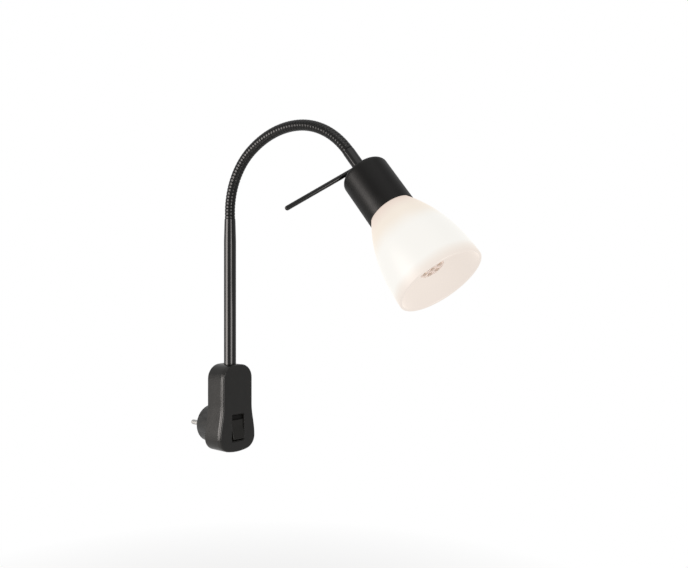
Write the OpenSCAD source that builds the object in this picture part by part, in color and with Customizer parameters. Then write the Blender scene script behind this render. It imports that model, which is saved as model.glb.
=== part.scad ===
// Plug-in reading lamp: a wall plug housing with a rocker switch, a straight stem,
// a ribbed gooseneck and a lamp head with a glass bell shade.
// Millimetres. +Z is up, the lamp reaches to the front along -Y, the plug pins point along +Y.
// The origin is midway between the two pins, on the plug face.

/* [Plug] */
// Diameter of a plug pin
pin_d = 4.8; // [4.6:0.1:5]
// Length of a pin in front of the plug face
pin_len = 19; // [17:0.5:21]
// Distance between the two pins
pin_pitch = 19; // [17:0.5:20]
// Diameter of the collar that keeps a pin from pulling out
pin_collar_d = 7; // [6:0.1:8]
// Diameter of the pins inside the plug face
pin_root_d = 4.4; // [4:0.1:4.6]
// Diameter of the tail that the wire is joined to
pin_tail_d = 3; // [2.5:0.1:4]
// Length of the tail behind the pin bridge
pin_tail_len = 6; // [4:0.5:8]
// Diameter of the round plug body
plug_d = 37; // [35:0.1:38]
// How far the plug body stands behind the housing
plug_depth = 17; // [15:0.5:18]
// Thickness of the plug face that the pins pass through
plug_face = 4; // [3:0.1:5]
// Wall of the hollow plug body
plug_wall = 3.5; // [3:0.1:4.5]
// Thickness of the insulating bridge behind the plug face
bridge_t = 4; // [3:0.1:5]
// Width of the notches for the earth clips
earth_notch_w = 8; // [6:0.5:10]
// Depth of the notches for the earth clips
earth_notch_depth = 3; // [2:0.1:3.2]
// Length of the notches along the plug
earth_notch_len = 12; // [10:0.5:14]
// Diameter of the hole that clears an earth pin
earth_hole_d = 5.4; // [5:0.1:6]
// Height of that hole above the pins
earth_hole_rise = 10; // [9:0.1:10.5]

/* [Housing] */
// Width across the round lower lobe
lobe_w = 45.2; // [44:0.1:50]
// Width of the upper half
upper_w = 37.6; // [36.5:0.1:42]
// Height of the crown above the plug axis
house_top = 62.3; // [60:0.1:75]
// Depth of the bottom below the plug axis
house_bottom = 23.9; // [23.5:0.1:28]
// Depth from the back to the front face
house_depth = 24.5; // [23:0.1:30]
// Corner radius of the lower lobe
lobe_corner_r = 13; // [12.5:0.1:15]
// Radius of the gently curved bottom
bottom_r = 60; // [40:1:90]
// Radius of the shoulders
shoulder_r = 14; // [12:0.1:15]
// Radius of the gently curved crown
crown_r = 90; // [60:1:140]
// Height above the plug axis where the narrowing ends
waist_z = 22; // [16:0.5:30]
// Wall of both shells
house_wall = 2; // [1.6:0.1:2.4]
// Thickness of the front cover
cover_t = 2.5; // [2:0.1:3]
// Rounding of the front edge
front_edge_r = 1.8; // [1:0.1:1.9]
// Rounding of the back edge
back_edge_r = 1.5; // [0.8:0.1:1.9]
// Rounding on both sides of the seam
seam_r = 0.45; // [0.2:0.05:0.6]
// Height of the locating lip inside the front cover
lip_h = 1.5; // [1:0.1:2]
// Thickness of the locating lip
lip_t = 1.2; // [0.8:0.1:1.5]

/* [Housing screws] */
// Outside diameter of the screw posts
post_d = 5.4; // [5:0.1:5.8]
// Shank diameter of the screws
screw_d = 2.6; // [2.2:0.1:3]
// Head diameter of the screws
screw_head_d = 5; // [4.4:0.1:5.2]
// Head height of the screws
screw_head_h = 1.6; // [1.2:0.1:1.7]
// Width of the slot in the screw heads
screw_slot_w = 0.8; // [0.6:0.1:1]
// Depth of the screw heads below the back face
screw_sink = 0.2; // [0.1:0.1:0.4]
// Length of the screws under the head
screw_len = 12; // [9:0.5:14]
// Direction of the upper posts from the shoulder centres
upper_post_angle = 20; // [10:1:40]
// Direction of the lower posts from the lobe corner centres
lower_post_angle = -45; // [-55:1:-40]

/* [Switch] */
// Width of the switch opening
switch_w = 16.4; // [16:0.1:20]
// Height of the switch opening
switch_h = 27.2; // [26.6:0.1:30]
// Height of the switch above the plug axis
switch_z = 0; // [-1:0.1:3]
// How far the switch frame lies below the front face
frame_sink = 0.3; // [0.1:0.1:0.6]
// Wall of the switch frame inside the opening
frame_wall = 0.7; // [0.5:0.1:1]
// How far the frame reaches past the opening behind the cover
frame_flange = 1.5; // [1.2:0.1:2]
// Depth of the switch behind the front face
switch_depth = 16.5; // [15:0.1:17]
// Depth of the rocker pocket behind the front face
pocket_depth = 10.5; // [9.5:0.1:11.5]
// Width of the rocker
rocker_w = 14.2; // [13:0.1:14.4]
// Length of the rocker
rocker_len = 24; // [22:0.1:24.4]
// Height of the rocker's ends above its pivot
rocker_rise = 4.6; // [4:0.1:5]
// Tilt of the rocker to either side of level
rocker_tilt = 7; // [5:0.5:8]
// Depth of the level rocker's ends below the front face
rocker_sink = 0.3; // [0.2:0.1:0.8]
// Diameter of the rocker's pivot pins
pivot_d = 3; // [2.4:0.1:3.4]
// Length of a pivot pin
pivot_len = 1.3; // [1:0.1:1.5]
// Width of a terminal tab
tab_w = 4.8; // [4:0.1:6.3]
// Thickness of a terminal tab
tab_t = 0.8; // [0.6:0.1:1]
// Length of a terminal tab
tab_len = 4.5; // [3.5:0.1:5]
// Distance between the terminal tabs
tab_pitch = 12; // [10:0.5:14]

/* [Stem] */
// Diameter of the stem tube
stem_d = 12; // [11.6:0.1:12.6]
// Wall of the stem tube
stem_wall = 1; // [0.8:0.1:1.1]
// Height of the stem's upper end above the plug axis
stem_top = 207; // [150:1:300]
// Diameter of the swaged upper end
swage_d = 10.8; // [10.6:0.1:11.4]
// Length of the swaged end
swage_len = 22; // [18:1:40]
// Depth of the recess in the crown that the stem stands in
stem_seat = 0.8; // [0.5:0.1:1.2]
// Thickness of the housing under the stem
seat_t = 4.2; // [3.5:0.1:6]
// Bore of the threaded nipple that the cable passes through
nipple_bore = 7; // [6.6:0.1:7.4]
// Length of the nipple inside the stem
nipple_grip = 13; // [8:1:20]
// Diameter of the washer under the nut
washer_d = 15; // [14:0.1:15.4]
// Thickness of the washer
washer_t = 1; // [0.8:0.1:1.6]
// Width across the flats of the nuts
nut_af = 14; // [13:0.5:15]
// Height of the nut
nut_h = 4; // [3:0.1:5]
// Length of nipple below the nut
nipple_tail = 1.5; // [0.5:0.1:3]

/* [Gooseneck] */
// Diameter over the ribs
neck_d = 10.1; // [9.8:0.1:11]
// Distance from rib to rib
rib_pitch = 3.4; // [3.2:0.1:3.8]
// Width of a rib
rib_w = 2; // [1.8:0.1:2.1]
// Ribs on each link
ribs_per_link = 5; // [4:1:6]
// Ribs on the straight start of the neck
base_ribs = 2; // [2:1:4]
// Bore of the neck
neck_bore = 6.6; // [6.2:0.1:6.8]
// Length of the neck that is held inside the stem
neck_grip = 14; // [10:1:18]
// Turn of each link in the first third of the bend
first_turn = 14.2; // [8:0.1:18]
// Turn of each link in the middle third
middle_turn = 9.6; // [6:0.1:16]
// Turn of each link in the last third
last_turn = 11.2; // [6:0.1:16]

/* [Cable] */
// Diameter of the cable sheath
cable_d = 5; // [4.4:0.1:5.4]
// Diameter of an insulated core
core_d = 2; // [1.6:0.1:2.2]
// Height of the sheath's end above the plug axis
sheath_end = 33; // [31:0.5:34]
// How far the cable reaches past the sleeve's thread
cable_out = 1; // [0.5:0.1:1.5]
// Width of the cable clamp
clamp_w = 22; // [20:0.5:24]
// Height of the cable clamp
clamp_h = 7; // [5:0.1:8]
// Thickness of the clamp bar
clamp_t = 4; // [3:0.1:5]
// Height of the clamp's middle above the plug axis
clamp_z = 40; // [39.5:0.5:41.5]
// Distance between the clamp screws
clamp_pitch = 15; // [13:0.5:16]
// Length of the clamp screws under the head
clamp_screw_len = 10; // [8:0.5:11]

/* [Head] */
// Length of the smooth sleeve at the end of the neck
ferrule_len = 26; // [22:0.5:40]
// Diameter of the sleeve
ferrule_d = 10.5; // [10.2:0.1:12]
// Outside diameter of the sleeve's threaded end
thread_d = 9.9; // [9.4:0.1:10.1]
// Length of the sleeve's threaded end
thread_len = 14; // [12.5:0.1:15]
// Diameter of the cup
cup_d = 42; // [41.6:0.1:46]
// Length of the cup
cup_len = 47.4; // [44:0.1:52]
// Wall of the cup
cup_wall = 0.8; // [0.6:0.1:0.9]
// Rounding of the cup's closed end
cup_edge_r = 5; // [3:0.1:8]
// Diameter of the handle rod
rod_d = 4.2; // [3.6:0.1:5]
// Distance of the rod's tip from the head's axis
rod_reach = 73; // [50:1:90]
// Distance of the rod from the cup
rod_rise = 7; // [5:0.5:12]
// Direction of the rod around the head's axis
rod_angle = 232; // [180:1:280]
// Diameter of the rod's threaded end
rod_thread_d = 2.9; // [2.2:0.1:3.4]
// Gap between the rod's threaded end and the sleeve's bore
rod_thread_back = 0.2; // [0.1:0.1:0.5]

/* [Lampholder] */
// Height of the nut inside the cup
cup_nut_h = 3.5; // [3:0.1:4]
// Space around the holder in the shade's neck
holder_gap = 6; // [5.6:0.1:6.4]
// Step from the holder to its cap
cap_step = 1; // [0.5:0.1:1.5]
// Thickness of the holder cap's threaded end
cap_t = 8; // [7:0.1:9]
// Wall of the holder cap
cap_wall = 3; // [2:0.1:4]
// Length of the holder cap
cap_len = 12; // [11:0.1:13]
// Thickness of the base plate inside the holder
base_t = 4; // [3:0.1:5]
// How far the holder reaches past the cup
holder_out = 6.6; // [5.6:0.1:9]
// Bore of the holder
holder_bore = 16.4; // [16.2:0.1:18]
// Space around the holder's flange above the shade
flange_gap = 3.4; // [2.9:0.1:4.4]
// Thickness of the flange
flange_t = 2.5; // [2:0.1:3]
// Inside diameter of the screw shell
shell_bore = 14.4; // [14.2:0.1:14.6]
// Wall of the screw shell
shell_wall = 0.7; // [0.5:0.1:0.8]
// Length of the screw shell
shell_len = 16; // [12:0.5:18]
// Height of the screw shell above the base plate
shell_rise = 1.5; // [1:0.1:3]
// Diameter of the centre contact
contact_d = 5; // [4:0.1:6]
// Height of the centre contact
contact_h = 2; // [1.5:0.1:2.5]
// Space around the shade ring in the shade's neck
ring_gap = 4; // [3.9:0.1:4.4]
// Height of the shade ring
ring_h = 5; // [4:0.1:5.4]

/* [Shade] */
// Diameter of the shade's mouth
mouth_d = 75; // [70:0.5:80]
// Gap between the shade and the cup
shade_fit = 0.3; // [0.25:0.05:0.5]
// Length of the shade outside the cup
shade_len = 74.2; // [68:0.1:90]
// Length of the shade inside the cup
shade_in = 4; // [3.5:0.1:4.2]
// How fast the bell opens
bell_power = 2.4; // [2:0.1:2.5]
// Thickness of the glass
glass_t = 2.4; // [2:0.1:2.5]
// Gap between the shade and the holder that passes through it
shade_hole_fit = 0.4; // [0.35:0.05:0.6]

/* [Bulb] */
// Diameter of the bulb's screw cap
bulb_cap_d = 13.9; // [13.5:0.1:14]
// Length of the screw cap
bulb_cap_len = 16.5; // [15:0.5:18]
// Diameter of the bulb's end contact
bulb_tip_d = 6; // [5:0.1:7]
// Length of the end contact
bulb_tip_len = 2.8; // [2:0.1:3.5]
// Diameter of the collar inside the holder
bulb_collar_d = 15; // [14.5:0.1:15.6]
// Gap between the holder's mouth and the bulb's shoulder
bulb_shoulder_gap = 0.6; // [0.3:0.1:1]
// Diameter of the bulb
bulb_d = 25; // [22:0.5:30]
// Length of the bulb's cone
bulb_cone_len = 6; // [4:0.5:9]
// Length of the bulb's plastic base past the cone
bulb_base_len = 4; // [3:0.5:8]
// Length of the light tube
tube_len = 42; // [30:1:46]
// Wall of the light tube
tube_wall = 1; // [0.8:0.1:1.5]
// Diameter of the board at the end of the tube
board_d = 22; // [20:0.1:22.6]
// Thickness of the board
board_t = 1.6; // [1.2:0.1:2]
// Side of a light chip
chip_w = 2.8; // [2:0.1:3.2]
// Height of a light chip
chip_h = 0.7; // [0.5:0.1:1]
// Chips in the ring around the middle one
ring_chips = 6; // [5:1:7]
// Radius of the ring of chips
chip_ring_r = 7; // [6.4:0.1:8]

/* [Clearances] */
// Gap of a shaft in its bearing
running_fit = 0.04; // [0.02:0.01:0.08]
// Gap around a piece that is pushed or screwed into place
place_fit = 0.1; // [0.05:0.01:0.15]
// Gap around a loose piece such as a cable clip or a lip
loose_fit = 0.25; // [0.2:0.05:0.4]

/* [Hidden] */
$fn = 64;

// Colours
satin_black = [0.17, 0.17, 0.165];
stem_black = [0.2, 0.19, 0.185];
ivory = [0.9, 0.88, 0.82];
nickel = [0.75, 0.74, 0.72];
brass = [0.8, 0.65, 0.35];
opal = [0.97, 0.94, 0.9];

// Overlap that keeps two fused shapes from only touching
fuse = house_wall / 5;
// Overrun of a cutting shape past the face that it cuts
past = house_wall / 2;
// Points that are nearer than this count as one
same = house_wall / 2000;

// Places along the depth of the housing, measured from the plug face to the front
back_o = plug_depth;
front_o = back_o + house_depth;
seam_o = front_o - cover_t;
inner_o = back_o + house_wall;
stem_o = back_o + house_depth / 2;

// Centres of the arcs of the housing's outline
lobe_cx = lobe_w / 2 - lobe_corner_r;
lobe_dz = sqrt(pow(bottom_r - lobe_corner_r, 2) - pow(lobe_cx, 2));
bottom_cz = bottom_r - house_bottom;
lobe_cz = bottom_cz - lobe_dz;
shoulder_cx = upper_w / 2 - shoulder_r;
shoulder_dz = sqrt(pow(crown_r - shoulder_r, 2) - pow(shoulder_cx, 2));
crown_cz = house_top - crown_r;
shoulder_cz = crown_cz + shoulder_dz;

// Steps of the outline's arcs and of a rounded edge
arc_steps = 7;
edge_steps = 4;

// Screws are sunk into pads, and the posts stand on those inside the corners, clear of the side
screw_seat = back_o + screw_head_h + screw_sink;
pad_top = inner_o + screw_head_h + screw_sink;
post_off = house_wall + loose_fit + post_d / 2;
upper_post = [shoulder_cx, shoulder_cz] + polar(shoulder_r - post_off, upper_post_angle);
lower_post = [lobe_cx, lobe_cz] + polar(lobe_corner_r - post_off, lower_post_angle);

// Switch
frame_w = switch_w - 2 * place_fit;
frame_h = switch_h - 2 * place_fit;
pocket_w = frame_w - 2 * frame_wall;
pocket_h = frame_h - 2 * frame_wall;
pivot_o = front_o - rocker_sink - rocker_rise;
pivot_room = rocker_w + 2 * pivot_len + 4 * place_fit;
switch_back_o = front_o - switch_depth;

// Stem
stem_foot = house_top - stem_seat;
seat_under = stem_foot - seat_t;
nipple_d = stem_d - 2 * stem_wall - 2 * place_fit;
nut_top = seat_under - washer_t;
nipple_bottom = nut_top - nut_h - nipple_tail;

// Gooseneck, as links of equal length that each follow one arc
neck_links = 12;
neck_core_d = swage_d - 2 * stem_wall - 3 * place_fit;
neck_gap = rib_pitch - rib_w;
core_inset = neck_gap / 2 + rib_w / 4;
link_len = ribs_per_link * rib_pitch;
zone_turns = [first_turn, middle_turn, last_turn];
turns = [for (k = [0:neck_links - 1]) zone_turns[floor(k * len(zone_turns) / neck_links)]];
neck_start = [0, -stem_o, stem_top + base_ribs * rib_pitch];
head_tilt = turn_at(neck_links);
head_at = joint_at(neck_links) + tilted([0, 0, ferrule_len], head_tilt);

// Diameters in the head, from the cup inwards
neck_mouth_d = cup_d - 2 * cup_wall - 2 * shade_fit;
flange_d = neck_mouth_d - 2 * flange_gap;
ring_d = neck_mouth_d - 2 * ring_gap;
holder_d = neck_mouth_d - 2 * holder_gap;
cap_d = holder_d - 2 * cap_step;
shade_hole_d = holder_d + 2 * shade_hole_fit;

// Places along the head's axis, measured from the cup's closed end
cap_at = cup_wall + cup_nut_h + 2 * place_fit;
holder_at = cap_at + cap_len;
holder_end = cup_len + holder_out;
bore_at = holder_at + base_t;
shade_top = cup_len - shade_in;
ring_at = shade_top + glass_t + place_fit;
mouth_at = cup_len + shade_len;
tip_at = bore_at + contact_h + place_fit;
bulb_cap_at = tip_at + bulb_tip_len;
collar_at = bulb_cap_at + bulb_cap_len;
cone_at = holder_end + bulb_shoulder_gap;
base_at = cone_at + bulb_cone_len;
tube_at = base_at + bulb_base_len;
board_at = tube_at + tube_len;
cable_stop = thread_len + cable_out;

// A point at a distance and a direction from the origin of a drawing
function polar(r, a) = [r * cos(a), r * sin(a)];

// Points along an arc
function arc(c, r, from, to) =
  [for (i = [0:arc_steps]) c + polar(r, from + (to - from) * i / arc_steps)];

// Half width of the housing between the lobe and the waist, a cosine blend
function side_w(z) =
  (upper_w + (lobe_w - upper_w) * (1 + cos(180 * (z - lobe_cz) / (waist_z - lobe_cz))) / 2) / 2;

// Right half of the housing's outline, drawn in by an inset
function half_outline(inset) = concat(
  arc([0, bottom_cz], bottom_r - inset, -90, -atan2(lobe_dz, lobe_cx)),
  arc([lobe_cx, lobe_cz], lobe_corner_r - inset, -atan2(lobe_dz, lobe_cx), 0),
  [for (i = [1:arc_steps])
    let (z = lobe_cz + (waist_z - lobe_cz) * i / arc_steps)
    [side_w(z) - inset, z]],
  arc([shoulder_cx, shoulder_cz], shoulder_r - inset, 0, atan2(shoulder_dz, shoulder_cx)),
  arc([0, crown_cz], crown_r - inset, atan2(shoulder_dz, shoulder_cx), 90)
);

// Drops the points that repeat the one before them
function distinct(pts) =
  [for (i = [0:len(pts) - 1]) if (i == 0 || norm(pts[i] - pts[i - 1]) > same) pts[i]];

// Whole outline: the right half, then its mirror image without the two points on the middle line
function outline(inset) =
  let (half = distinct(half_outline(inset)), n = len(half))
  concat(half, [for (i = [n - 2:-1:1]) [-half[i][0], half[i][1]]]);

// Inset and depth of the steps of a rounded edge, from the face at depth o inwards
function edge(r, o, way) =
  [for (i = [0:edge_steps]) let (a = 90 * i / edge_steps) [r * (1 - sin(a)), o + way * r * (1 - cos(a))]];

function reversed(list) = [for (i = [len(list) - 1:-1:0]) list[i]];

// Turns a point about the X axis, which leans the +Z direction to the front
function tilted(p, a) = [p[0], p[1] * cos(a) - p[2] * sin(a), p[1] * sin(a) + p[2] * cos(a)];

// Lean of the neck at the start of link k, counted from 0
function turn_at(k) = k == 0 ? 0 : turn_at(k - 1) + turns[k - 1];

// Point on link k at a share s of its length, seen from its start
function along(k, s) =
  let (a = turns[k] * s, r = link_len * 180 / (PI * turns[k]))
  [0, -r * (1 - cos(a)), r * sin(a)];

// Start of link k on the neck's middle line
function joint_at(k) = k == 0 ? neck_start : joint_at(k - 1) + tilted(along(k - 1, 1), turn_at(k - 1));

// Point and lean of the neck's middle line at a share s of link k
function neck_at(k, s) = joint_at(k) + tilted(along(k, s), turn_at(k));

// Ring of points around a middle line that leans by a in the plane of the neck
function lean_ring(p, a, r, n) = [for (i = [0:n - 1]) p + tilted(concat(polar(r, 360 * i / n), 0), a)];

// Point and direction on a cubic curve with four control points
function curve(p, s) =
  pow(1 - s, 3) * p[0] + 3 * s * pow(1 - s, 2) * p[1] + 3 * s * s * (1 - s) * p[2] + pow(s, 3) * p[3];
function heading(p, s) =
  pow(1 - s, 2) * (p[1] - p[0]) + 2 * s * (1 - s) * (p[2] - p[1]) + s * s * (p[3] - p[2]);

// Ring of points square to a direction
function wire_ring(p, way, r, n) =
  let (t = way / norm(way), side = cross(t, [0.2, 1, 0.1]), u = side / norm(side), v = cross(t, u))
  [for (i = [0:n - 1]) let (c = polar(r, 360 * i / n)) p + c[0] * u + c[1] * v];

// Solid through a list of rings with equal numbers of points
module loft(rings) {
  n = len(rings[0]);
  last = (len(rings) - 1) * n;
  sides = [
    for (j = [0:len(rings) - 2], i = [0:n - 1])
      let (a = j * n + i, b = j * n + (i + 1) % n)
      each [[a, a + n, b + n], [a, b + n, b]]
  ];
  ends = [[for (i = [0:n - 1]) i], [for (i = [n - 1:-1:0]) last + i]];
  polyhedron(points = [for (r = rings) each r], faces = concat(sides, ends), convexity = 6);
}

// Housing-shaped solid through a list of insets and depths
module house_loft(steps) {
  loft([for (s = steps) [for (p = outline(s[0])) concat(p, s[1])]]);
}

// Housing-shaped prism between two depths
module house_prism(inset, from, to) {
  translate([0, 0, from])
    linear_extrude(to - from)
      polygon(outline(inset));
}

// Places a front view drawing: x right, y up, z from the plug face to the front
module facing() {
  rotate([90, 0, 0])
    children();
}

// Places what is drawn around the stem's axis, with z up from the plug axis
module on_stem() {
  translate([0, -stem_o, 0])
    children();
}

// Places what is drawn along the head's axis, with z from the cup's closed end towards the shade
module on_head() {
  translate(head_at)
    rotate([head_tilt, 0, 0])
      children();
}

// Repeats its children at the four screw posts
module at_posts() {
  for (side = [-1, 1], p = [upper_post, lower_post])
    translate([side * p[0], p[1], 0])
      children();
}

// Repeats its children at the two plug pins
module at_pins() {
  for (side = [-1, 1])
    translate([side * pin_pitch / 2, 0, 0])
      children();
}

// Repeats its children at the two clamp screws
module at_clamp() {
  for (side = [-1, 1])
    translate([side * clamp_pitch / 2, clamp_z, 0])
      children();
}

// Ring with a bore, standing on the XY plane
module sleeve(d, bore, h) {
  difference() {
    cylinder(d = d, h = h);
    translate([0, 0, -past])
      cylinder(d = bore, h = h + 2 * past);
  }
}

// Six-sided nut with a bore
module hex_nut(bore, h) {
  difference() {
    cylinder(d = nut_af / cos(30), h = h, $fn = 6);
    translate([0, 0, -past])
      cylinder(d = bore, h = h + 2 * past);
  }
}

// Screw with its slotted head below the XY plane and its shank above it
module screw(shank, length) {
  translate([0, 0, -fuse])
    cylinder(d = shank, h = length + fuse);
  difference() {
    translate([0, 0, -screw_head_h])
      cylinder(d = screw_head_d, h = screw_head_h);
    translate([-screw_head_d / 2 - past, -screw_slot_w / 2, -screw_head_h - past])
      cube([screw_head_d + 2 * past, screw_slot_w, past + screw_head_h / 2]);
  }
}

// Insulated core along a curve
module wire(points) {
  steps = 10;
  sides = 8;
  loft([for (i = [0:steps])
    wire_ring(curve(points, i / steps), heading(points, i / steps), core_d / 2, sides)]);
}

// Block inside the crown that the nipple is screwed to
module stem_block() {
  block_w = washer_d + 2 * house_wall;
  block_top = house_top - house_wall - stem_seat;
  translate([-block_w / 2, seat_under, inner_o - fuse])
    cube([block_w, block_top + fuse - seat_under, seam_o - lip_h - loose_fit - inner_o + fuse]);
}

// Saddle that the cable lies in
module clamp_saddle() {
  translate([-clamp_w / 2, clamp_z - clamp_h / 2, inner_o - fuse])
    cube([clamp_w, clamp_h, stem_o - loose_fit - inner_o + fuse]);
}

// Upright hole on the stem's axis, drawn in the front view
module stem_hole(d, from, to) {
  translate([0, from, stem_o])
    rotate([-90, 0, 0])
      cylinder(d = d, h = to - from);
}

module rear_shell() {
  color(satin_black)
    facing()
      difference() {
        union() {
          difference() {
            house_loft(concat(edge(back_edge_r, back_o, 1), reversed(edge(seam_r, seam_o, -1))));
            house_prism(house_wall, inner_o, seam_o + past);
          }
          cylinder(d = plug_d, h = inner_o - fuse);
          stem_block();
          clamp_saddle();
          at_posts()
            translate([0, 0, inner_o - fuse])
              cylinder(d = post_d, h = pad_top - inner_o + fuse);
        }
        translate([0, 0, plug_face])
          cylinder(d = plug_d - 2 * plug_wall, h = inner_o);
        at_pins()
          translate([0, 0, -past])
            cylinder(d = pin_d + 2 * place_fit, h = plug_face + 2 * past);
        translate([0, earth_hole_rise, -past])
          cylinder(d = earth_hole_d, h = plug_face + 2 * past);
        for (side = [-1, 1])
          translate([-earth_notch_w / 2, side * plug_d / 2 - earth_notch_depth, -past])
            cube([earth_notch_w, 2 * earth_notch_depth, earth_notch_len + past]);
        at_posts() {
          translate([0, 0, back_o - past])
            cylinder(d = screw_d + 2 * loose_fit, h = pad_top - back_o + 2 * past);
          translate([0, 0, back_o - past])
            cylinder(d = screw_head_d + 2 * loose_fit, h = screw_seat - back_o + past);
        }
        stem_hole(nipple_d + 2 * place_fit, seat_under - past, house_top + past);
        stem_hole(stem_d + 2 * place_fit, stem_foot, house_top + past);
        stem_hole(cable_d + 2 * place_fit, clamp_z - clamp_h, clamp_z + clamp_h);
        at_clamp()
          translate([0, 0, inner_o])
            cylinder(d = screw_d + 2 * place_fit, h = house_depth);
      }
}

module front_cover() {
  lip_out = house_wall + loose_fit;
  color(satin_black)
    facing()
      difference() {
        union() {
          house_loft(concat(edge(seam_r, seam_o, 1), reversed(edge(front_edge_r, front_o, -1))));
          difference() {
            house_prism(lip_out, seam_o - lip_h, seam_o + fuse);
            house_prism(lip_out + lip_t, seam_o - lip_h - past, seam_o + past);
          }
          at_posts()
            translate([0, 0, pad_top + place_fit])
              cylinder(d = post_d, h = seam_o + fuse - pad_top);
        }
        translate([-switch_w / 2, switch_z - switch_h / 2, seam_o - past])
          cube([switch_w, switch_h, cover_t + 2 * past]);
        at_posts()
          translate([0, 0, screw_seat])
            cylinder(d = screw_d + 2 * place_fit, h = screw_len + past);
      }
}

module pin_bridge() {
  color(ivory)
    facing()
      translate([0, 0, plug_face])
        difference() {
          cylinder(d = plug_d - 2 * plug_wall - 2 * place_fit, h = bridge_t);
          at_pins()
            translate([0, 0, -past])
              cylinder(d = pin_collar_d + 2 * place_fit, h = bridge_t + 2 * past);
          translate([0, earth_hole_rise, -past])
            cylinder(d = earth_hole_d, h = bridge_t + 2 * past);
        }
}

// One pin: a domed tip, the shank, a thinner root in the plug face, a collar behind it and a tail
module plug_pin() {
  tip_r = pin_d / 2;
  translate([0, 0, tip_r - pin_len])
    cylinder(d = pin_d, h = pin_len - tip_r);
  translate([0, 0, -fuse])
    cylinder(d = pin_root_d, h = plug_face + 2 * fuse);
  translate([0, 0, tip_r - pin_len])
    sphere(d = pin_d);
  translate([0, 0, plug_face])
    cylinder(d = pin_collar_d, h = bridge_t);
  translate([0, 0, plug_face + bridge_t - fuse])
    cylinder(d = pin_tail_d, h = pin_tail_len + fuse);
}

module plug_pins() {
  color(nickel)
    facing()
      at_pins()
        plug_pin();
}

module housing_screws() {
  color(nickel)
    facing()
      at_posts()
        translate([0, 0, screw_seat])
          screw(screw_d, screw_len);
}

module switch_frame() {
  body_w = switch_w + 2 * frame_flange;
  body_h = switch_h + 2 * frame_flange;
  color(satin_black)
    facing()
      translate([0, switch_z, 0])
        difference() {
          union() {
            translate([-frame_w / 2, -frame_h / 2, switch_back_o])
              cube([frame_w, frame_h, switch_depth - frame_sink]);
            translate([-body_w / 2, -body_h / 2, switch_back_o])
              cube([body_w, body_h, seam_o - place_fit - switch_back_o]);
          }
          translate([-pocket_w / 2, -pocket_h / 2, front_o - pocket_depth])
            cube([pocket_w, pocket_h, pocket_depth + past]);
          translate([0, 0, pivot_o])
            rotate([0, 90, 0])
              cylinder(d = pivot_d + 2 * running_fit, h = pivot_room, center = true);
        }
}

// Rocker, stored with its upper half pressed in
module rocker() {
  half = rocker_len / 2;
  valley = rocker_rise - half * tan(rocker_tilt);
  belly = pivot_d / 2 + place_fit;
  side = [
    [-half, rocker_rise], [-half + valley / 2, 0], [-pivot_d, -belly],
    [pivot_d, -belly], [half - valley / 2, 0], [half, rocker_rise], [0, valley]
  ];
  color(satin_black)
    facing()
      translate([0, switch_z, pivot_o])
        rotate([-rocker_tilt, 0, 0]) {
          rotate([90, 0, 90])
            linear_extrude(rocker_w, center = true)
              polygon(side);
          rotate([0, 90, 0])
            cylinder(d = pivot_d, h = rocker_w + 2 * pivot_len, center = true);
        }
}

module switch_terminals() {
  color(brass)
    facing()
      for (side = [-1, 1])
        translate([-tab_w / 2, switch_z + side * tab_pitch / 2 - tab_t / 2, switch_back_o - tab_len])
          cube([tab_w, tab_t, tab_len]);
}

// Ends of the wires, in the front view
wire_gap = place_fit;
tab_end_o = switch_back_o - tab_len - wire_gap;
tail_end_o = plug_face + bridge_t + pin_tail_len + wire_gap;
upper_tab = [0, switch_z + tab_pitch / 2, tab_end_o];
lower_tab = [0, switch_z - tab_pitch / 2, tab_end_o];
neutral_tail = [pin_pitch / 2, 0, tail_end_o];
live_tail = [-pin_pitch / 2, 0, tail_end_o];
core_x = cable_d / 4;
// How far a wire runs straight on from its end before it bends
wire_lead = 7;

module live_link() {
  color(brass)
    facing()
      wire([
        lower_tab, lower_tab - [0, 0, wire_lead],
        live_tail + [0, 0, wire_lead], live_tail
      ]);
}

module live_core() {
  start = [-core_x, sheath_end - wire_gap, stem_o];
  color("saddlebrown")
    facing()
      wire([
        start, start - [0, wire_lead / 2, 0],
        upper_tab - [0, 0, wire_lead], upper_tab
      ]);
}

module neutral_core() {
  start = [core_x, sheath_end - wire_gap, stem_o];
  color("steelblue")
    facing()
      wire([
        start, start - [0, wire_lead / 2, 0],
        neutral_tail + [0, 0, wire_lead / 2], neutral_tail
      ]);
}

module clamp_bar() {
  color(ivory)
    facing()
      difference() {
        translate([-clamp_w / 2, clamp_z - clamp_h / 2, stem_o + loose_fit])
          cube([clamp_w, clamp_h, clamp_t]);
        stem_hole(cable_d + 2 * place_fit, clamp_z - clamp_h, clamp_z + clamp_h);
        at_clamp()
          translate([0, 0, stem_o])
            cylinder(d = screw_d + 2 * loose_fit, h = house_depth);
      }
}

module clamp_screws() {
  color(nickel)
    facing()
      at_clamp()
        translate([0, 0, stem_o + loose_fit + clamp_t])
          rotate([180, 0, 0])
            screw(screw_d, clamp_screw_len);
}

module stem_nipple() {
  color(nickel)
    on_stem()
      translate([0, 0, nipple_bottom])
        sleeve(nipple_d, nipple_bore, stem_foot + nipple_grip - nipple_bottom);
}

module stem_washer() {
  color(nickel)
    on_stem()
      translate([0, 0, nut_top])
        sleeve(washer_d, nipple_d + 2 * place_fit, washer_t);
}

module stem_nut() {
  color(nickel)
    on_stem()
      translate([0, 0, nut_top - nut_h])
        hex_nut(nipple_d + 2 * place_fit, nut_h);
}

module stem_tube() {
  swage_at = stem_top - swage_len;
  r = stem_d / 2;
  color(stem_black)
    on_stem()
      rotate_extrude()
        polygon([
          [r - stem_wall, stem_foot], [r, stem_foot], [r, swage_at], [swage_d / 2, stem_top],
          [swage_d / 2 - stem_wall, stem_top], [r - stem_wall, swage_at]
        ]);
}

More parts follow.
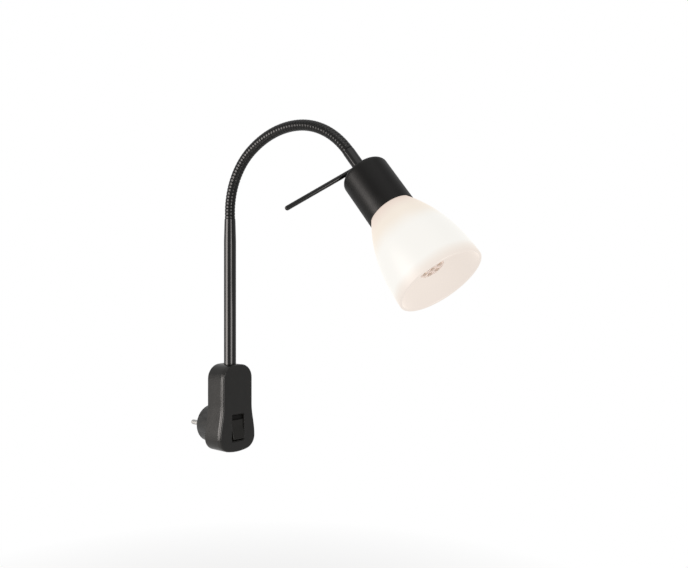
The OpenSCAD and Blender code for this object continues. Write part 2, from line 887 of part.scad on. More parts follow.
// One rib of the neck: a ring with a round crown, sunk into the core
module rib() {
  root_r = (neck_core_d + neck_bore) / 4;
  rotate_extrude()
    intersection() {
      translate([neck_d / 2 - rib_w / 2, 0])
        circle(d = rib_w);
      translate([root_r, -rib_w])
        square([neck_d, 2 * rib_w]);
    }
}

module neck_base() {
  run = neck_grip + base_ribs * rib_pitch - core_inset;
  color(stem_black)
    on_stem() {
      translate([0, 0, stem_top - neck_grip])
        sleeve(neck_core_d, neck_bore, run);
      for (i = [0:base_ribs - 1])
        translate([0, 0, stem_top + (i + 0.5) * rib_pitch])
          rib();
    }
}

// Part of a round bar bent about an axis at a distance r, from the XY plane upwards
module bent_bar(d, r, from, to) {
  translate([0, -r, 0])
    rotate([90, 0, 90])
      rotate([0, 0, from])
        rotate_extrude(angle = to - from)
          translate([r, 0])
            circle(d = d);
}

// Link k of the neck, counted from 1: a bent core with its bore, and the ribs around it
module neck_link(k) {
  turn = turns[k - 1];
  r = link_len * 180 / (PI * turn);
  inset = turn * core_inset / link_len;
  over = turn * fuse / link_len;
  color(stem_black)
    translate(joint_at(k - 1))
      rotate([turn_at(k - 1), 0, 0]) {
        difference() {
          bent_bar(neck_core_d, r, inset, turn - inset);
          bent_bar(neck_bore, r, inset - over, turn - inset + over);
        }
        for (i = [0:ribs_per_link - 1])
          let (s = (i + 0.5) / ribs_per_link)
            translate(along(k - 1, s))
              rotate([turn * s, 0, 0])
                rib();
      }
}

module supply_cable() {
  steps = 4;
  sides = 8;
  start = [0, -stem_o, sheath_end];
  color("dimgray")
    loft(concat(
      [lean_ring(start, 0, cable_d / 2, sides)],
      [for (k = [0:neck_links - 1], i = [0:steps - 1])
        lean_ring(neck_at(k, i / steps), turn_at(k) + turns[k] * i / steps, cable_d / 2, sides)],
      [lean_ring(joint_at(neck_links), head_tilt, cable_d / 2, sides)],
      [lean_ring(head_at + tilted([0, 0, cable_stop], head_tilt), head_tilt, cable_d / 2, sides)]
    ));
}

module arm_ferrule() {
  low = neck_gap / 2 - ferrule_len;
  color(stem_black)
    on_head()
      difference() {
        union() {
          translate([0, 0, low])
            cylinder(d = ferrule_d, h = -low);
          translate([0, 0, -fuse])
            cylinder(d = thread_d, h = thread_len + fuse);
        }
        translate([0, 0, low - past])
          cylinder(d = neck_bore, h = ferrule_len + thread_len + 2 * past);
        rod_place()
          cylinder(d = rod_thread_d + 2 * place_fit, h = ferrule_d);
      }
}

// Places the rod's axis: z runs outwards from the head's axis
module rod_place() {
  translate([0, 0, -rod_rise])
    rotate([0, 0, rod_angle])
      rotate([0, 90, 0])
        children();
}

module handle_rod() {
  root = ferrule_d / 2 + place_fit / 2;
  inner = neck_bore / 2 + rod_thread_back;
  color(stem_black)
    on_head()
      rod_place() {
        translate([0, 0, inner])
          cylinder(d = rod_thread_d, h = root + fuse - inner);
        translate([0, 0, root])
          cylinder(d = rod_d, h = rod_reach - rod_d / 2 - root);
        translate([0, 0, rod_reach - rod_d / 2])
          sphere(d = rod_d);
      }
}

// Half section of a cup with a rounded closed end
module cup_section(r, h, edge_r) {
  translate([0, edge_r])
    square([r, h - edge_r]);
  square([r - edge_r, edge_r + fuse]);
  translate([r - edge_r, edge_r])
    intersection() {
      circle(r = edge_r);
      translate([-past, -edge_r])
        square([edge_r + past, edge_r + fuse]);
    }
}

module cup() {
  color(satin_black)
    on_head()
      rotate_extrude()
        difference() {
          cup_section(cup_d / 2, cup_len, cup_edge_r);
          translate([0, cup_wall])
            cup_section(cup_d / 2 - cup_wall, cup_len, cup_edge_r - cup_wall);
          translate([0, -past])
            square([thread_d / 2 + place_fit, 3 * past]);
        }
}

module cup_nut() {
  color(nickel)
    on_head()
      translate([0, 0, cup_wall + place_fit])
        hex_nut(thread_d + 2 * place_fit, cup_nut_h);
}

module holder_cap() {
  color(ivory)
    on_head()
      translate([0, 0, cap_at])
        difference() {
          cylinder(d = cap_d, h = cap_len);
          translate([0, 0, -past])
            cylinder(d = thread_d + 2 * place_fit, h = cap_len);
          translate([0, 0, cap_t])
            cylinder(d = cap_d - 2 * cap_wall, h = cap_len);
        }
}

module holder_body() {
  color(ivory)
    on_head()
      difference() {
        union() {
          translate([0, 0, holder_at])
            cylinder(d = holder_d, h = holder_end - holder_at);
          translate([0, 0, shade_top - place_fit - flange_t])
            cylinder(d = flange_d, h = flange_t);
        }
        translate([0, 0, bore_at])
          cylinder(d = holder_bore, h = holder_end);
      }
}

module screw_contact() {
  color(brass)
    on_head()
      translate([0, 0, bore_at + shell_rise])
        sleeve(shell_bore + 2 * shell_wall, shell_bore, shell_len);
}

module centre_contact() {
  color(brass)
    on_head()
      translate([0, 0, bore_at])
        cylinder(d = contact_d, h = contact_h);
}

module holder_wires() {
  color("saddlebrown")
    on_head()
      for (side = [-1, 1])
        translate([side * cable_d / 4, 0, cable_stop + wire_gap])
          cylinder(d = core_d, h = holder_at - cable_stop - 2 * wire_gap);
}

module shade_ring() {
  notches = 6;
  color(ivory)
    on_head()
      translate([0, 0, ring_at])
        difference() {
          sleeve(ring_d, holder_d + 2 * place_fit, ring_h);
          for (i = [0:notches - 1])
            rotate([0, 0, 360 * i / notches])
              translate([holder_d / 2, -past, ring_h / 2])
                cube([ring_d, 2 * past, ring_h]);
        }
}

// Outer radius of the bell at a distance t past the cup
function bell_r(t) = mouth_d / 2 - (mouth_d - neck_mouth_d) / 2 * pow(1 - t / shade_len, bell_power);

module glass_shade() {
  steps = 20;
  outer = [for (i = [0:steps])
    let (t = -shade_in + (shade_len + shade_in) * i / steps)
    [bell_r(t), cup_len + t]];
  inner = [for (i = [steps:-1:1]) if (outer[i][1] > shade_top + glass_t) outer[i] - [glass_t, 0]];
  plate_r = bell_r(glass_t - shade_in) - glass_t;
  hole_r = shade_hole_d / 2;
  color(opal)
    on_head()
      rotate_extrude()
        polygon(concat(
          outer, inner,
          [[plate_r, shade_top + glass_t], [hole_r, shade_top + glass_t], [hole_r, shade_top]]
        ));
}

module bulb_cap() {
  color(nickel)
    on_head() {
      translate([0, 0, bulb_cap_at])
        cylinder(d = bulb_cap_d, h = bulb_cap_len);
      translate([0, 0, tip_at])
        cylinder(d = bulb_tip_d, h = bulb_tip_len + fuse);
    }
}

module bulb_body() {
  color("white")
    on_head()
      rotate_extrude()
        polygon([
          [0, collar_at], [bulb_collar_d / 2, collar_at], [bulb_collar_d / 2, cone_at],
          [bulb_d / 2, base_at], [bulb_d / 2, tube_at], [0, tube_at]
        ]);
}

module bulb_tube() {
  color(opal)
    on_head()
      translate([0, 0, tube_at])
        sleeve(bulb_d - 2 * place_fit, bulb_d - 2 * place_fit - 2 * tube_wall, tube_len);
}

module led_board() {
  rim = bulb_d - 2 * place_fit - 2 * tube_wall;
  color("white")
    on_head() {
      translate([0, 0, board_at])
        cylinder(d = rim, h = board_t / 2);
      translate([0, 0, board_at])
        cylinder(d = board_d, h = board_t);
    }
}

module led_chips() {
  places = concat([[0, 0]], [for (i = [0:ring_chips - 1]) polar(chip_ring_r, 360 * i / ring_chips)]);
  color("gold")
    on_head()
      for (p = places)
        translate([p[0] - chip_w / 2, p[1] - chip_w / 2, board_at + board_t])
          cube([chip_w, chip_w, chip_h]);
}

rear_shell();
front_cover();
pin_bridge();
plug_pins();
housing_screws();
switch_frame();
rocker();
switch_terminals();
live_link();
live_core();
neutral_core();
clamp_bar();
clamp_screws();
stem_nipple();
stem_washer();
stem_nut();
stem_tube();
neck_base();
supply_cable();
neck_link(1);  // neck_link_1
neck_link(2);  // neck_link_2
neck_link(3);  // neck_link_3
neck_link(4);  // neck_link_4
neck_link(5);  // neck_link_5
neck_link(6);  // neck_link_6
neck_link(7);  // neck_link_7
neck_link(8);  // neck_link_8
neck_link(9);  // neck_link_9
neck_link(10);  // neck_link_10
neck_link(11);  // neck_link_11
neck_link(12);  // neck_link_12
arm_ferrule();
handle_rod();
cup();
cup_nut();
holder_cap();
holder_body();
screw_contact();
centre_contact();
holder_wires();
shade_ring();
glass_shade();
bulb_cap();
bulb_body();
bulb_tube();
led_board();
led_chips();
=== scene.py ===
# %% [markdown]
# A reading lamp that hangs on its own plug. The CAD model fixes every size and every joint, and this file
# dresses it: each visible piece becomes a smooth surface that is worked out with numpy and gets a finish
# made of shader nodes. Everything here is in millimetres until the moment it becomes a mesh.

import math

import bmesh
import bpy
import numpy as np
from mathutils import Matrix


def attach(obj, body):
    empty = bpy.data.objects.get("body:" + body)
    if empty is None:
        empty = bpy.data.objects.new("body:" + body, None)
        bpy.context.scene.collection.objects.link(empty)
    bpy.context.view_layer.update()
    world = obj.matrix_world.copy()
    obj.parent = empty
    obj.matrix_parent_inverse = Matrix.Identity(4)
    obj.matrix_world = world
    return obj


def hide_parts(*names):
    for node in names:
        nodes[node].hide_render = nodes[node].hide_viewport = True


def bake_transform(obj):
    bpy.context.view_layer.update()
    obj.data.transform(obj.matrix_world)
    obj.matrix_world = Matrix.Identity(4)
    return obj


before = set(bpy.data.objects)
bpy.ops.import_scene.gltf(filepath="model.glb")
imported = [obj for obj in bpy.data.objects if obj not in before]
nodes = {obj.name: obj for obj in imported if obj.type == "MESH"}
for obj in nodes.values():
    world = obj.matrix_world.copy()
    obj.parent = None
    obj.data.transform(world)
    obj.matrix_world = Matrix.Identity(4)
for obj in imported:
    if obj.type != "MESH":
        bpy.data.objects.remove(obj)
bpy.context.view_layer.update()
MM = 0.001

# %% [markdown]
# The camera stands level, to the left of the lamp's front, and looks along the pins' direction turned by
# fifty degrees. It could follow a target with a Track To constraint, but a level camera keeps the stem
# upright in the picture, so its angles are simply set. The distance was worked out from how much larger the
# nearer things look, and the focal length in pixels becomes a lens on a 36 mm wide sensor.

# %% Camera
STEM_Y = -29.25
VIEW_TURN = math.radians(49.6)
VIEW_DISTANCE = 730.0
VIEW_ASIDE = 114.0
EYE_HEIGHT = 142.0
FOCAL_PX = 730.0
PICTURE_W_PX = 688.0
SENSOR_W = 36.0

look = np.array([math.sin(VIEW_TURN), math.cos(VIEW_TURN), 0.0])
aside = np.array([math.cos(VIEW_TURN), -math.sin(VIEW_TURN), 0.0])
eye = np.array([0.0, STEM_Y, EYE_HEIGHT]) - VIEW_DISTANCE * look + VIEW_ASIDE * aside

camera_data = bpy.data.cameras.new("camera")
camera_data.sensor_fit = "HORIZONTAL"
camera_data.sensor_width = SENSOR_W
camera_data.lens = SENSOR_W * FOCAL_PX / PICTURE_W_PX
camera_data.clip_start = 0.01
camera = bpy.data.objects.new("camera", camera_data)
camera.location = eye * MM
camera.rotation_euler = (math.radians(90), 0.0, -VIEW_TURN)
bpy.context.scene.collection.objects.link(camera)
bpy.context.scene.camera = camera
print("camera at", np.round(eye, 1), "mm")

# %% [markdown]
# A bright, even studio. The world is white for the camera, half as bright in reflections, and gives only a
# gentle fill to everything else, so that black lacquer stays black. A white backdrop behind the lamp could
# do that too, but it would need much more light. Worlds and materials are made of shader nodes, and one
# helper makes, sets and links each of them, so that a material reads as a list of its nodes.

# %% World
FILL_STRENGTH = 0.12
MIRROR_SHARE = 0.5


def add(tree, kind, inputs, **switches):
    """New shader node with its switches set. Another node's output is linked to an input, and any other value
    is set there."""
    node = tree.nodes.new(kind)
    for name, value in switches.items():
        setattr(node, name, value)
    for place, value in inputs.items():
        if isinstance(value, bpy.types.NodeSocket):
            tree.links.new(value, node.inputs[place])
        else:
            node.inputs[place].default_value = value
    return node


def maths(tree, operation, a, b):
    """Output of a Math node that joins two values."""
    return add(tree, "ShaderNodeMath", {0: a, 1: b}, operation=operation).outputs[0]


def seen_directly(tree):
    """Largest of Light Path's camera and transmission switches and of a share of its glossy one."""
    path = add(tree, "ShaderNodeLightPath", {}).outputs
    mirror = maths(tree, "MULTIPLY", path["Is Glossy Ray"], MIRROR_SHARE)
    looking = maths(tree, "MAXIMUM", path["Is Camera Ray"], mirror)
    return maths(tree, "MAXIMUM", looking, path["Is Transmission Ray"])


bpy.context.scene.view_settings.view_transform = "Standard"
world = bpy.data.worlds.new("studio")
bpy.context.scene.world = world
world.use_nodes = True
tree = world.node_tree
tree.nodes.clear()
fill = add(tree, "ShaderNodeBackground", {"Color": (1.0, 0.99, 0.97, 1.0), "Strength": FILL_STRENGTH})
white = add(tree, "ShaderNodeBackground", {"Color": (1.0, 1.0, 1.0, 1.0), "Strength": 1.0})
both = add(tree, "ShaderNodeMixShader",
           {"Fac": seen_directly(tree), 1: fill.outputs[0], 2: white.outputs[0]})
add(tree, "ShaderNodeOutputWorld", {"Surface": both.outputs[0]})
print("world lit by a white surround and a gentle fill")

# %% [markdown]
# Two soft boxes draw the long highlights: a wide one on the left and a narrow one on the right of the
# camera. A third one above opens up the top faces, and a small pale card near the housing is mirrored in
# its left side. Point lamps would be simpler, but only a lamp with an area leaves a broad line on a glossy
# tube.

# %% Soft boxes
STUDIO_MIDDLE = (0.0, STEM_Y - 60.0, EYE_HEIGHT)
HOUSING_SIDE = (-22.0, STEM_Y, 20.0)


def soft_box(name, turn, height, distance, size, power, tint, middle=STUDIO_MIDDLE):
    """Rectangular lamp on a circle round a middle, which it faces: turn is its angle in degrees from the
    camera's side, positive to the right, and height is above the middle."""
    angle = VIEW_TURN - math.radians(turn)
    away = np.array([-math.sin(angle) * distance, -math.cos(angle) * distance, height])
    data = bpy.data.lights.new(name, "AREA")
    data.shape = "RECTANGLE"
    data.size = size[0] * MM
    data.size_y = size[1] * MM
    data.energy = power
    data.color = tint
    lamp = bpy.data.objects.new(name, data)
    lamp.location = (middle + away) * MM
    aim = -away / np.linalg.norm(away)
    lamp.rotation_euler = (math.acos(-aim[2]), 0.0, math.atan2(aim[1], aim[0]) - math.pi / 2)
    bpy.context.scene.collection.objects.link(lamp)
    print(name, np.round(middle + away, 0))


soft_box("left_box", turn=-61.5, height=-5, distance=900, size=(670, 540), power=8.4, tint=(1.0, 0.94, 0.90))
soft_box("right_box", turn=36, height=-10, distance=900, size=(460, 540), power=4.7, tint=(1.0, 0.96, 0.93))
soft_box("top_box", turn=0, height=900, distance=300, size=(800, 800), power=1.2, tint=(1.0, 0.99, 0.98))
soft_box("side_card", turn=-90, height=-27, distance=120, size=(110, 85), power=0.011, tint=(1.0, 0.93, 0.85),
         middle=HOUSING_SIDE)

# %% [markdown]
# The floor lies well below the plug. It is a plain pale disc that fades into the white surround, so that no
# horizon line crosses the picture. A sheet that bends up at the back is the usual way in a studio, but a
# disc that fades works from every side.

# %% Floor
FLOOR_Z, FLOOR_R, FLOOR_SIDES = -320.0, 3000.0, 64
FADE_NEAR, FADE_FAR, FADE_LEAST = 350.0, 750.0, 0.7
turn = np.linspace(0, 2 * np.pi, FLOOR_SIDES, endpoint=False)
edge = [FLOOR_R * np.cos(turn), FLOOR_R * np.sin(turn) + STEM_Y, np.full(FLOOR_SIDES, FLOOR_Z)]
floor_mesh = bpy.data.meshes.new("floor")
floor_mesh.from_pydata((np.stack(edge, -1) * MM).tolist(), [], [list(range(FLOOR_SIDES))])
floor = bpy.data.objects.new("floor", floor_mesh)
bpy.context.scene.collection.objects.link(floor)

floor_paint = bpy.data.materials.new("floor_paint")
floor_paint.use_nodes = True
tree = floor_paint.node_tree
tree.nodes.clear()
matt = add(tree, "ShaderNodeBsdfDiffuse", {"Color": (0.86, 0.86, 0.86, 1.0)})
glow = add(tree, "ShaderNodeEmission", {"Color": (1.0, 1.0, 1.0, 1.0), "Strength": 1.0})
where = add(tree, "ShaderNodeTexCoord", {})
far = add(tree, "ShaderNodeVectorMath", {0: where.outputs["Object"]}, operation="LENGTH")
fade = add(tree, "ShaderNodeMapRange", {
    "Value": far.outputs["Value"], "From Min": FADE_NEAR * MM, "From Max": FADE_FAR * MM,
    "To Min": FADE_LEAST, "To Max": 1.0})
share = maths(tree, "MULTIPLY", fade.outputs["Result"], seen_directly(tree))
both = add(tree, "ShaderNodeMixShader", {"Fac": share, 1: matt.outputs[0], 2: glow.outputs[0]})
add(tree, "ShaderNodeOutputMaterial", {"Surface": both.outputs[0]})
floor_mesh.materials.append(floor_paint)
print("floor at", FLOOR_Z, "mm")

# %% [markdown]
# Every finish below shares one recipe: a noise on object coordinates varies the colour and the roughness a
# little, and a finer noise becomes a bump, because no moulded or lacquered surface is perfectly even. One
# flat colour would be quicker, but it looks like a drawing. Numbers that are the same all over are set on
# the shader itself. The black pieces differ in their gloss more than in their colour.

# %% Black finishes
MICRON = 1e-6
NOISE_LOW, NOISE_HIGH = 0.3, 0.7
FINER, BUMP_STRENGTH = 10.0, 0.5


def finish(name, dark, light, rough, grain, bump, metallic=0.0, specular=0.5):
    """Material whose colour runs from dark to light and whose roughness runs over the pair rough, both along
    a noise of grain cells per metre. A noise FINER times as fine raises the surface by bump microns."""
    material = bpy.data.materials.new(name)
    material.use_nodes = True
    tree = material.node_tree
    shader = tree.nodes["Principled BSDF"]
    shader.inputs["Metallic"].default_value = metallic
    shader.inputs["Specular IOR Level"].default_value = specular
    where = add(tree, "ShaderNodeTexCoord", {}).outputs["Object"]
    cloud = add(tree, "ShaderNodeTexNoise", {"Vector": where, "Scale": grain, "Detail": 3.0}).outputs["Fac"]
    tint = add(tree, "ShaderNodeValToRGB", {"Fac": cloud})
    for k, (at, colour) in enumerate([(NOISE_LOW, dark), (NOISE_HIGH, light)]):
        tint.color_ramp.elements[k].position = at
        tint.color_ramp.elements[k].color = (*colour, 1.0)
    gloss = add(tree, "ShaderNodeMapRange", {
        "Value": cloud, "From Min": NOISE_LOW, "From Max": NOISE_HIGH,
        "To Min": rough[0], "To Max": rough[1]})
    fine = add(tree, "ShaderNodeTexNoise", {"Vector": where, "Scale": grain * FINER, "Detail": 2.0})
    raised = add(tree, "ShaderNodeBump", {
        "Height": fine.outputs["Fac"], "Strength": BUMP_STRENGTH, "Distance": bump * MICRON})
    tree.links.new(tint.outputs["Color"], shader.inputs["Base Color"])
    tree.links.new(gloss.outputs["Result"], shader.inputs["Roughness"])
    tree.links.new(raised.outputs["Normal"], shader.inputs["Normal"])
    return material


moulded_black = finish("moulded_black", dark=(0.005, 0.0046, 0.0038), light=(0.007, 0.0065, 0.0054),
                       rough=(0.22, 0.26), grain=120.0, bump=3.0, specular=0.45)
rocker_black = finish("rocker_black", dark=(0.009, 0.0085, 0.0074), light=(0.011, 0.0104, 0.0090),
                      rough=(0.22, 0.26), grain=120.0, bump=3.0, specular=0.28)
# Darker, less glossy black for the faces above the rocker's step: painted shade over its sunk upper half.
painted_shade_black = finish("painted_shade_black", dark=(0.005, 0.005, 0.0048), light=(0.007, 0.007, 0.0066),
                    rough=(0.60, 0.70), grain=400.0, bump=10.0, specular=0.12)
lacquer_black = finish("lacquer_black", dark=(0.002, 0.0017, 0.0015), light=(0.003, 0.0026, 0.0024),
                       rough=(0.12, 0.14), grain=60.0, bump=0.4, specular=0.45)
satin_black = finish("satin_black", dark=(0.002, 0.0018, 0.0016), light=(0.003, 0.0027, 0.0025),
                     rough=(0.36, 0.42), grain=60.0, bump=4.0, specular=0.22)
ribbed_black = finish("ribbed_black", dark=(0.002, 0.0018, 0.0016), light=(0.003, 0.0027, 0.0024),
                      rough=(0.15, 0.18), grain=150.0, bump=1.0, specular=0.36)
print("black finishes ready")

# %% [markdown]
# The neck's middle line is a chain of twelve arcs that start at knots. It could be a Bezier curve, but arcs
# have a length that is known exactly, and the hinges of the CAD model sit at the knots. Where the last arc
# ends, the sleeve of the head goes straight on, and the head has a frame of its own from there.

# %% Knots of the neck and place of the head
STEM_TOP = 207.0
RIB_PITCH = 3.4
BASE_RIBS = 2
LINK_RIBS = 5
LINK_TURNS = np.repeat([14.2, 9.6, 11.2], 4)
LINKS = len(LINK_TURNS)
FERRULE_LEN = 26.0
CUP_LEN = 47.4
SHADE_LEN = 74.2

link_len = LINK_RIBS * RIB_PITCH
link_turn = np.radians(LINK_TURNS)
knot_s = BASE_RIBS * RIB_PITCH + link_len * np.arange(LINKS + 1)
knot_lean = np.radians(np.concatenate([[0.0], np.cumsum(LINK_TURNS)]))


def lean_matrix(lean):
    """Turn about X that leans +Z to the front, -Y: y' = y cos - z sin, z' = y sin + z cos."""
    c, s = math.cos(lean), math.sin(lean)
    return np.array([[1.0, 0.0, 0.0], [0.0, c, -s], [0.0, s, c]])


bend_r = link_len / link_turn
hop = np.stack([0 * bend_r, -bend_r * (1 - np.cos(link_turn)), bend_r * np.sin(link_turn)], -1)
steps = np.stack([lean_matrix(a) @ h for a, h in zip(knot_lean[:-1], hop)])
neck_start = np.array([0.0, STEM_Y, STEM_TOP + knot_s[0]])
knot_at = neck_start + np.concatenate([np.zeros((1, 3)), np.cumsum(steps, 0)])
head_turn = lean_matrix(knot_lean[-1])
head_axis = head_turn[:, 2]
head_at = knot_at[-1] + head_turn @ np.array([0.0, 0.0, FERRULE_LEN])


def on_head(points):
    """Carries points from the head's frame, z along its axis from the cup's closed end, to their place."""
    return points @ head_turn.T + head_at


print("head at", np.round(head_at, 2), "leaning", round(math.degrees(knot_lean[-1]), 1), "degrees")

# %% [markdown]
# Opal glass is milky all the way through. With the bulb on, its light shines through the glass; here that
# light is painted into the glass as a glow of its own: rosy at the cup, white from its middle to near the
# mouth, and a pale blush inside. A texture baked on a picture could do that, but outside the glow only
# changes along the head's axis, so a dot product of the object coordinates with that axis and a colour ramp
# are enough. The inside is told from the outside by the UV map, which counts along the profile. Both stay
# with the mesh, so the painted glow follows the shade wherever the head is bent to.

# %% Opal finish with a painted glow
OUTSIDE_END, INSIDE_START = 0.40, 0.47
DRIFT, DRIFT_GRAIN = 8.0, 35.0


def opal(name, base, strength, inside, inside_tint, tints):
    """Milky glass that glows: for the shade this is painted light from the bulb, for the bulb's tube its own
    light. The place along the head's axis, from the cup's edge to the mouth, runs through a row of tints, and
    a noise shifts that place by up to half of DRIFT either way. The place is the dot product of the point
    with the axis. From OUTSIDE_END to INSIDE_START, shares of the profile in the UV map, the glow goes from
    strength to inside and takes the inside's tint."""
    material = bpy.data.materials.new(name)
    material.use_nodes = True
    tree = material.node_tree
    shader = tree.nodes["Principled BSDF"]
    shader.inputs["Base Color"].default_value = (*base, 1.0)
    shader.inputs["Roughness"].default_value = 0.42
    shader.inputs["Specular IOR Level"].default_value = 0.3
    where = add(tree, "ShaderNodeTexCoord", {}).outputs
    parts = add(tree, "ShaderNodeSeparateXYZ", {"Vector": where["UV"]})
    side = add(tree, "ShaderNodeMapRange", {
        "Value": parts.outputs["Y"], "From Min": OUTSIDE_END, "From Max": INSIDE_START}).outputs["Result"]
    power = add(tree, "ShaderNodeMapRange", {"Value": side, "To Min": strength, "To Max": inside})
    place = add(tree, "ShaderNodeVectorMath", {0: where["Object"], 1: head_axis}, operation="DOT_PRODUCT")
    cloud = add(tree, "ShaderNodeTexNoise", {"Vector": where["Object"], "Scale": DRIFT_GRAIN})
    drift = add(tree, "ShaderNodeMath", {
        0: cloud.outputs["Fac"], 1: DRIFT * MM, 2: place.outputs["Value"]}, operation="MULTIPLY_ADD")
    first, last = head_at @ head_axis + np.array([CUP_LEN, CUP_LEN + SHADE_LEN]) + DRIFT / 2
    along = add(tree, "ShaderNodeMapRange", {
        "Value": drift.outputs[0], "From Min": first * MM, "From Max": last * MM})
    tint = add(tree, "ShaderNodeValToRGB", {"Fac": along.outputs["Result"]})
    tint.color_ramp.interpolation = "EASE"
    stops = tint.color_ramp.elements
    for k in range(len(stops), len(tints)):
        stops.new(0.5)
    for k, (at, colour) in enumerate(tints):
        stops[k].position = at
        stops[k].color = (*colour, 1.0)
    both = add(tree, "ShaderNodeMixRGB", {
        "Fac": side, "Color1": tint.outputs["Color"], "Color2": (*inside_tint, 1.0)})
    tree.links.new(power.outputs["Result"], shader.inputs["Emission Strength"])
    tree.links.new(both.outputs["Color"], shader.inputs["Emission Color"])
    return material


# The shade's glow is painted light: the bulb's light through the glass is painted in as emission along the
# head's axis, with a rosier, darker tint at the cup and a dimmer blush inside. The tube's glow is the bulb's
# own light.
rosy, blush, cream = (0.90, 0.76, 0.67), (0.97, 0.875, 0.80), (0.97, 0.88, 0.77)
bright, warm = (1.0, 0.99, 0.95), (0.97, 0.90, 0.82)
opal_glass = opal("opal_glass", base=(0.095, 0.087, 0.08), strength=0.82, inside=0.76, inside_tint=blush,
                  tints=[(0.0, rosy), (0.22, cream), (0.48, bright), (0.84, bright), (1.0, warm)])
lit_tube = opal("lit_tube", base=(0.70, 0.66, 0.62), strength=0.40, inside=0.40, inside_tint=bright,
                tints=[(0.2, cream), (0.45, bright), (0.85, warm)])
print("opal finishes ready")

# %% [markdown]
# The housing's outline is a pear: a shallow arc below, two round corners, sides that draw in along a
# cosine, two shoulders and a shallow crown. It could be traced with a Bezier curve, but arcs that meet at a
# tangent can be drawn in by any distance and stay smooth, and the rounded edges below need just that.

# %% Outline of the housing
LOBE_W, UPPER_W, TOP, BOTTOM = 45.2, 37.6, 62.3, 23.9
LOBE_R, BOTTOM_R, SHOULDER_R, CROWN_R, WAIST_Z = 13.0, 60.0, 14.0, 90.0, 22.0
FRONT_O, SEAM_O = 41.5, 39.0


def arc(cx, cz, r, start, stop, n=24):
    """Points on an arc: centre plus r times (cos, sin) of evenly spaced angles."""
    a = np.linspace(start, stop, n)
    return np.stack([cx + r * np.cos(a), cz + r * np.sin(a)], -1)


def housing_loop(inset):
    """The pear outline drawn in by inset: four arcs and a cosine side, then the same mirrored."""
    lobe_x = LOBE_W / 2 - LOBE_R
    lobe_dz = math.sqrt((BOTTOM_R - LOBE_R) ** 2 - lobe_x ** 2)
    bottom_z = BOTTOM_R - BOTTOM
    lobe_z = bottom_z - lobe_dz
    low = -math.atan2(lobe_dz, lobe_x)
    shoulder_x = UPPER_W / 2 - SHOULDER_R
    shoulder_dz = math.sqrt((CROWN_R - SHOULDER_R) ** 2 - shoulder_x ** 2)
    crown_z = TOP - CROWN_R
    high = math.atan2(shoulder_dz, shoulder_x)
    z = np.linspace(lobe_z, WAIST_Z, 32)
    swell = 1 + np.cos(np.pi * (z - lobe_z) / (WAIST_Z - lobe_z))
    side = UPPER_W / 2 + (LOBE_W - UPPER_W) / 4 * swell
    half = np.concatenate([
        arc(0, bottom_z, BOTTOM_R - inset, -np.pi / 2, low),
        arc(lobe_x, lobe_z, LOBE_R - inset, low, 0),
        np.stack([side - inset, z], -1),
        arc(shoulder_x, crown_z + shoulder_dz, SHOULDER_R - inset, 0, high),
        arc(0, crown_z, CROWN_R - inset, high, np.pi / 2)])
    return np.concatenate([half, half[::-1] * [-1, 1]])


outline = housing_loop(0.0)
print("outline", np.round(outline.min(0), 1), "to", np.round(outline.max(0), 1))

# %% [markdown]
# A real edge is never quite sharp: a small round on it catches the light. A Bevel modifier could add that
# afterwards, but it is easier to steer in the drawing, so each polygon below gets its corners rounded
# before it becomes a surface.

# %% Round corners
LEAD = 0.3


def rounded(corners, radii, steps=5):
    """Closed profile whose corners become arcs: an arc leaves its side a distance r tan(turn / 2) before the
    corner. One more point on each side of the arc, LEAD radii away, keeps the flats flat in the shading."""
    c = np.asarray(corners, float)
    r = np.broadcast_to(np.asarray(radii, float), len(c))
    before = c - np.roll(c, 1, 0)
    after = np.roll(c, -1, 0) - c
    e0 = before / np.linalg.norm(before, axis=1, keepdims=True)
    e1 = after / np.linalg.norm(after, axis=1, keepdims=True)
    turn = np.arctan2(e0[:, 0] * e1[:, 1] - e0[:, 1] * e1[:, 0], (e0 * e1).sum(1))
    reach = (r * np.tan(np.abs(turn) / 2))[:, None]
    start, end = c - e0 * reach, c + e1 * reach
    side = np.stack([-e0[:, 1], e0[:, 0]], -1) * np.sign(turn)[:, None]
    centre = start + side * r[:, None]
    angle = turn[:, None] * np.linspace(0, 1, steps + 1)
    arm = start - centre
    bow = np.stack([arm[:, :1] * np.cos(angle) - arm[:, 1:] * np.sin(angle),
                    arm[:, :1] * np.sin(angle) + arm[:, 1:] * np.cos(angle)], -1) + centre[:, None]
    lead = (LEAD * r)[:, None]
    run = [(start - e0 * lead)[:, None], bow, (end + e1 * lead)[:, None]]
    return np.concatenate(run, 1).reshape(-1, 2)


def box_loop(half_w, half_h, r):
    """Rectangle about the middle with rounded corners."""
    return rounded([[half_w, -half_h], [half_w, half_h], [-half_w, half_h], [-half_w, -half_h]], r, 8)


print("a box with round corners has", len(box_loop(2.0, 1.0, 0.5)), "points")

# %% [markdown]
# Seen from its middle, the housing's outline and the switch opening are both single-valued in the angle, so
# a whole cover can be one grid: angle round, and a list of rings from the opening over the front face and
# the edge to the seam. Cutting the opening with a Boolean modifier would be quicker, but it leaves long
# thin triangles that spoil the shading.

# %% Rings about a middle
def polar(loop, angles):
    """Distance from the middle to a loop along each direction d: a ray meets the side that runs from p along
    e where the distance is cross(p, e) / cross(d, e)."""
    a, first = np.unique(np.round(np.arctan2(loop[:, 1], loop[:, 0]), 9), return_index=True)
    k = np.searchsorted(a, angles, side="right") - 1
    p = loop[first][k]
    e = loop[first][(k + 1) % len(a)] - p
    return (p[:, 0] * e[:, 1] - p[:, 1] * e[:, 0]) / (np.cos(angles) * e[:, 1] - np.sin(angles) * e[:, 0])


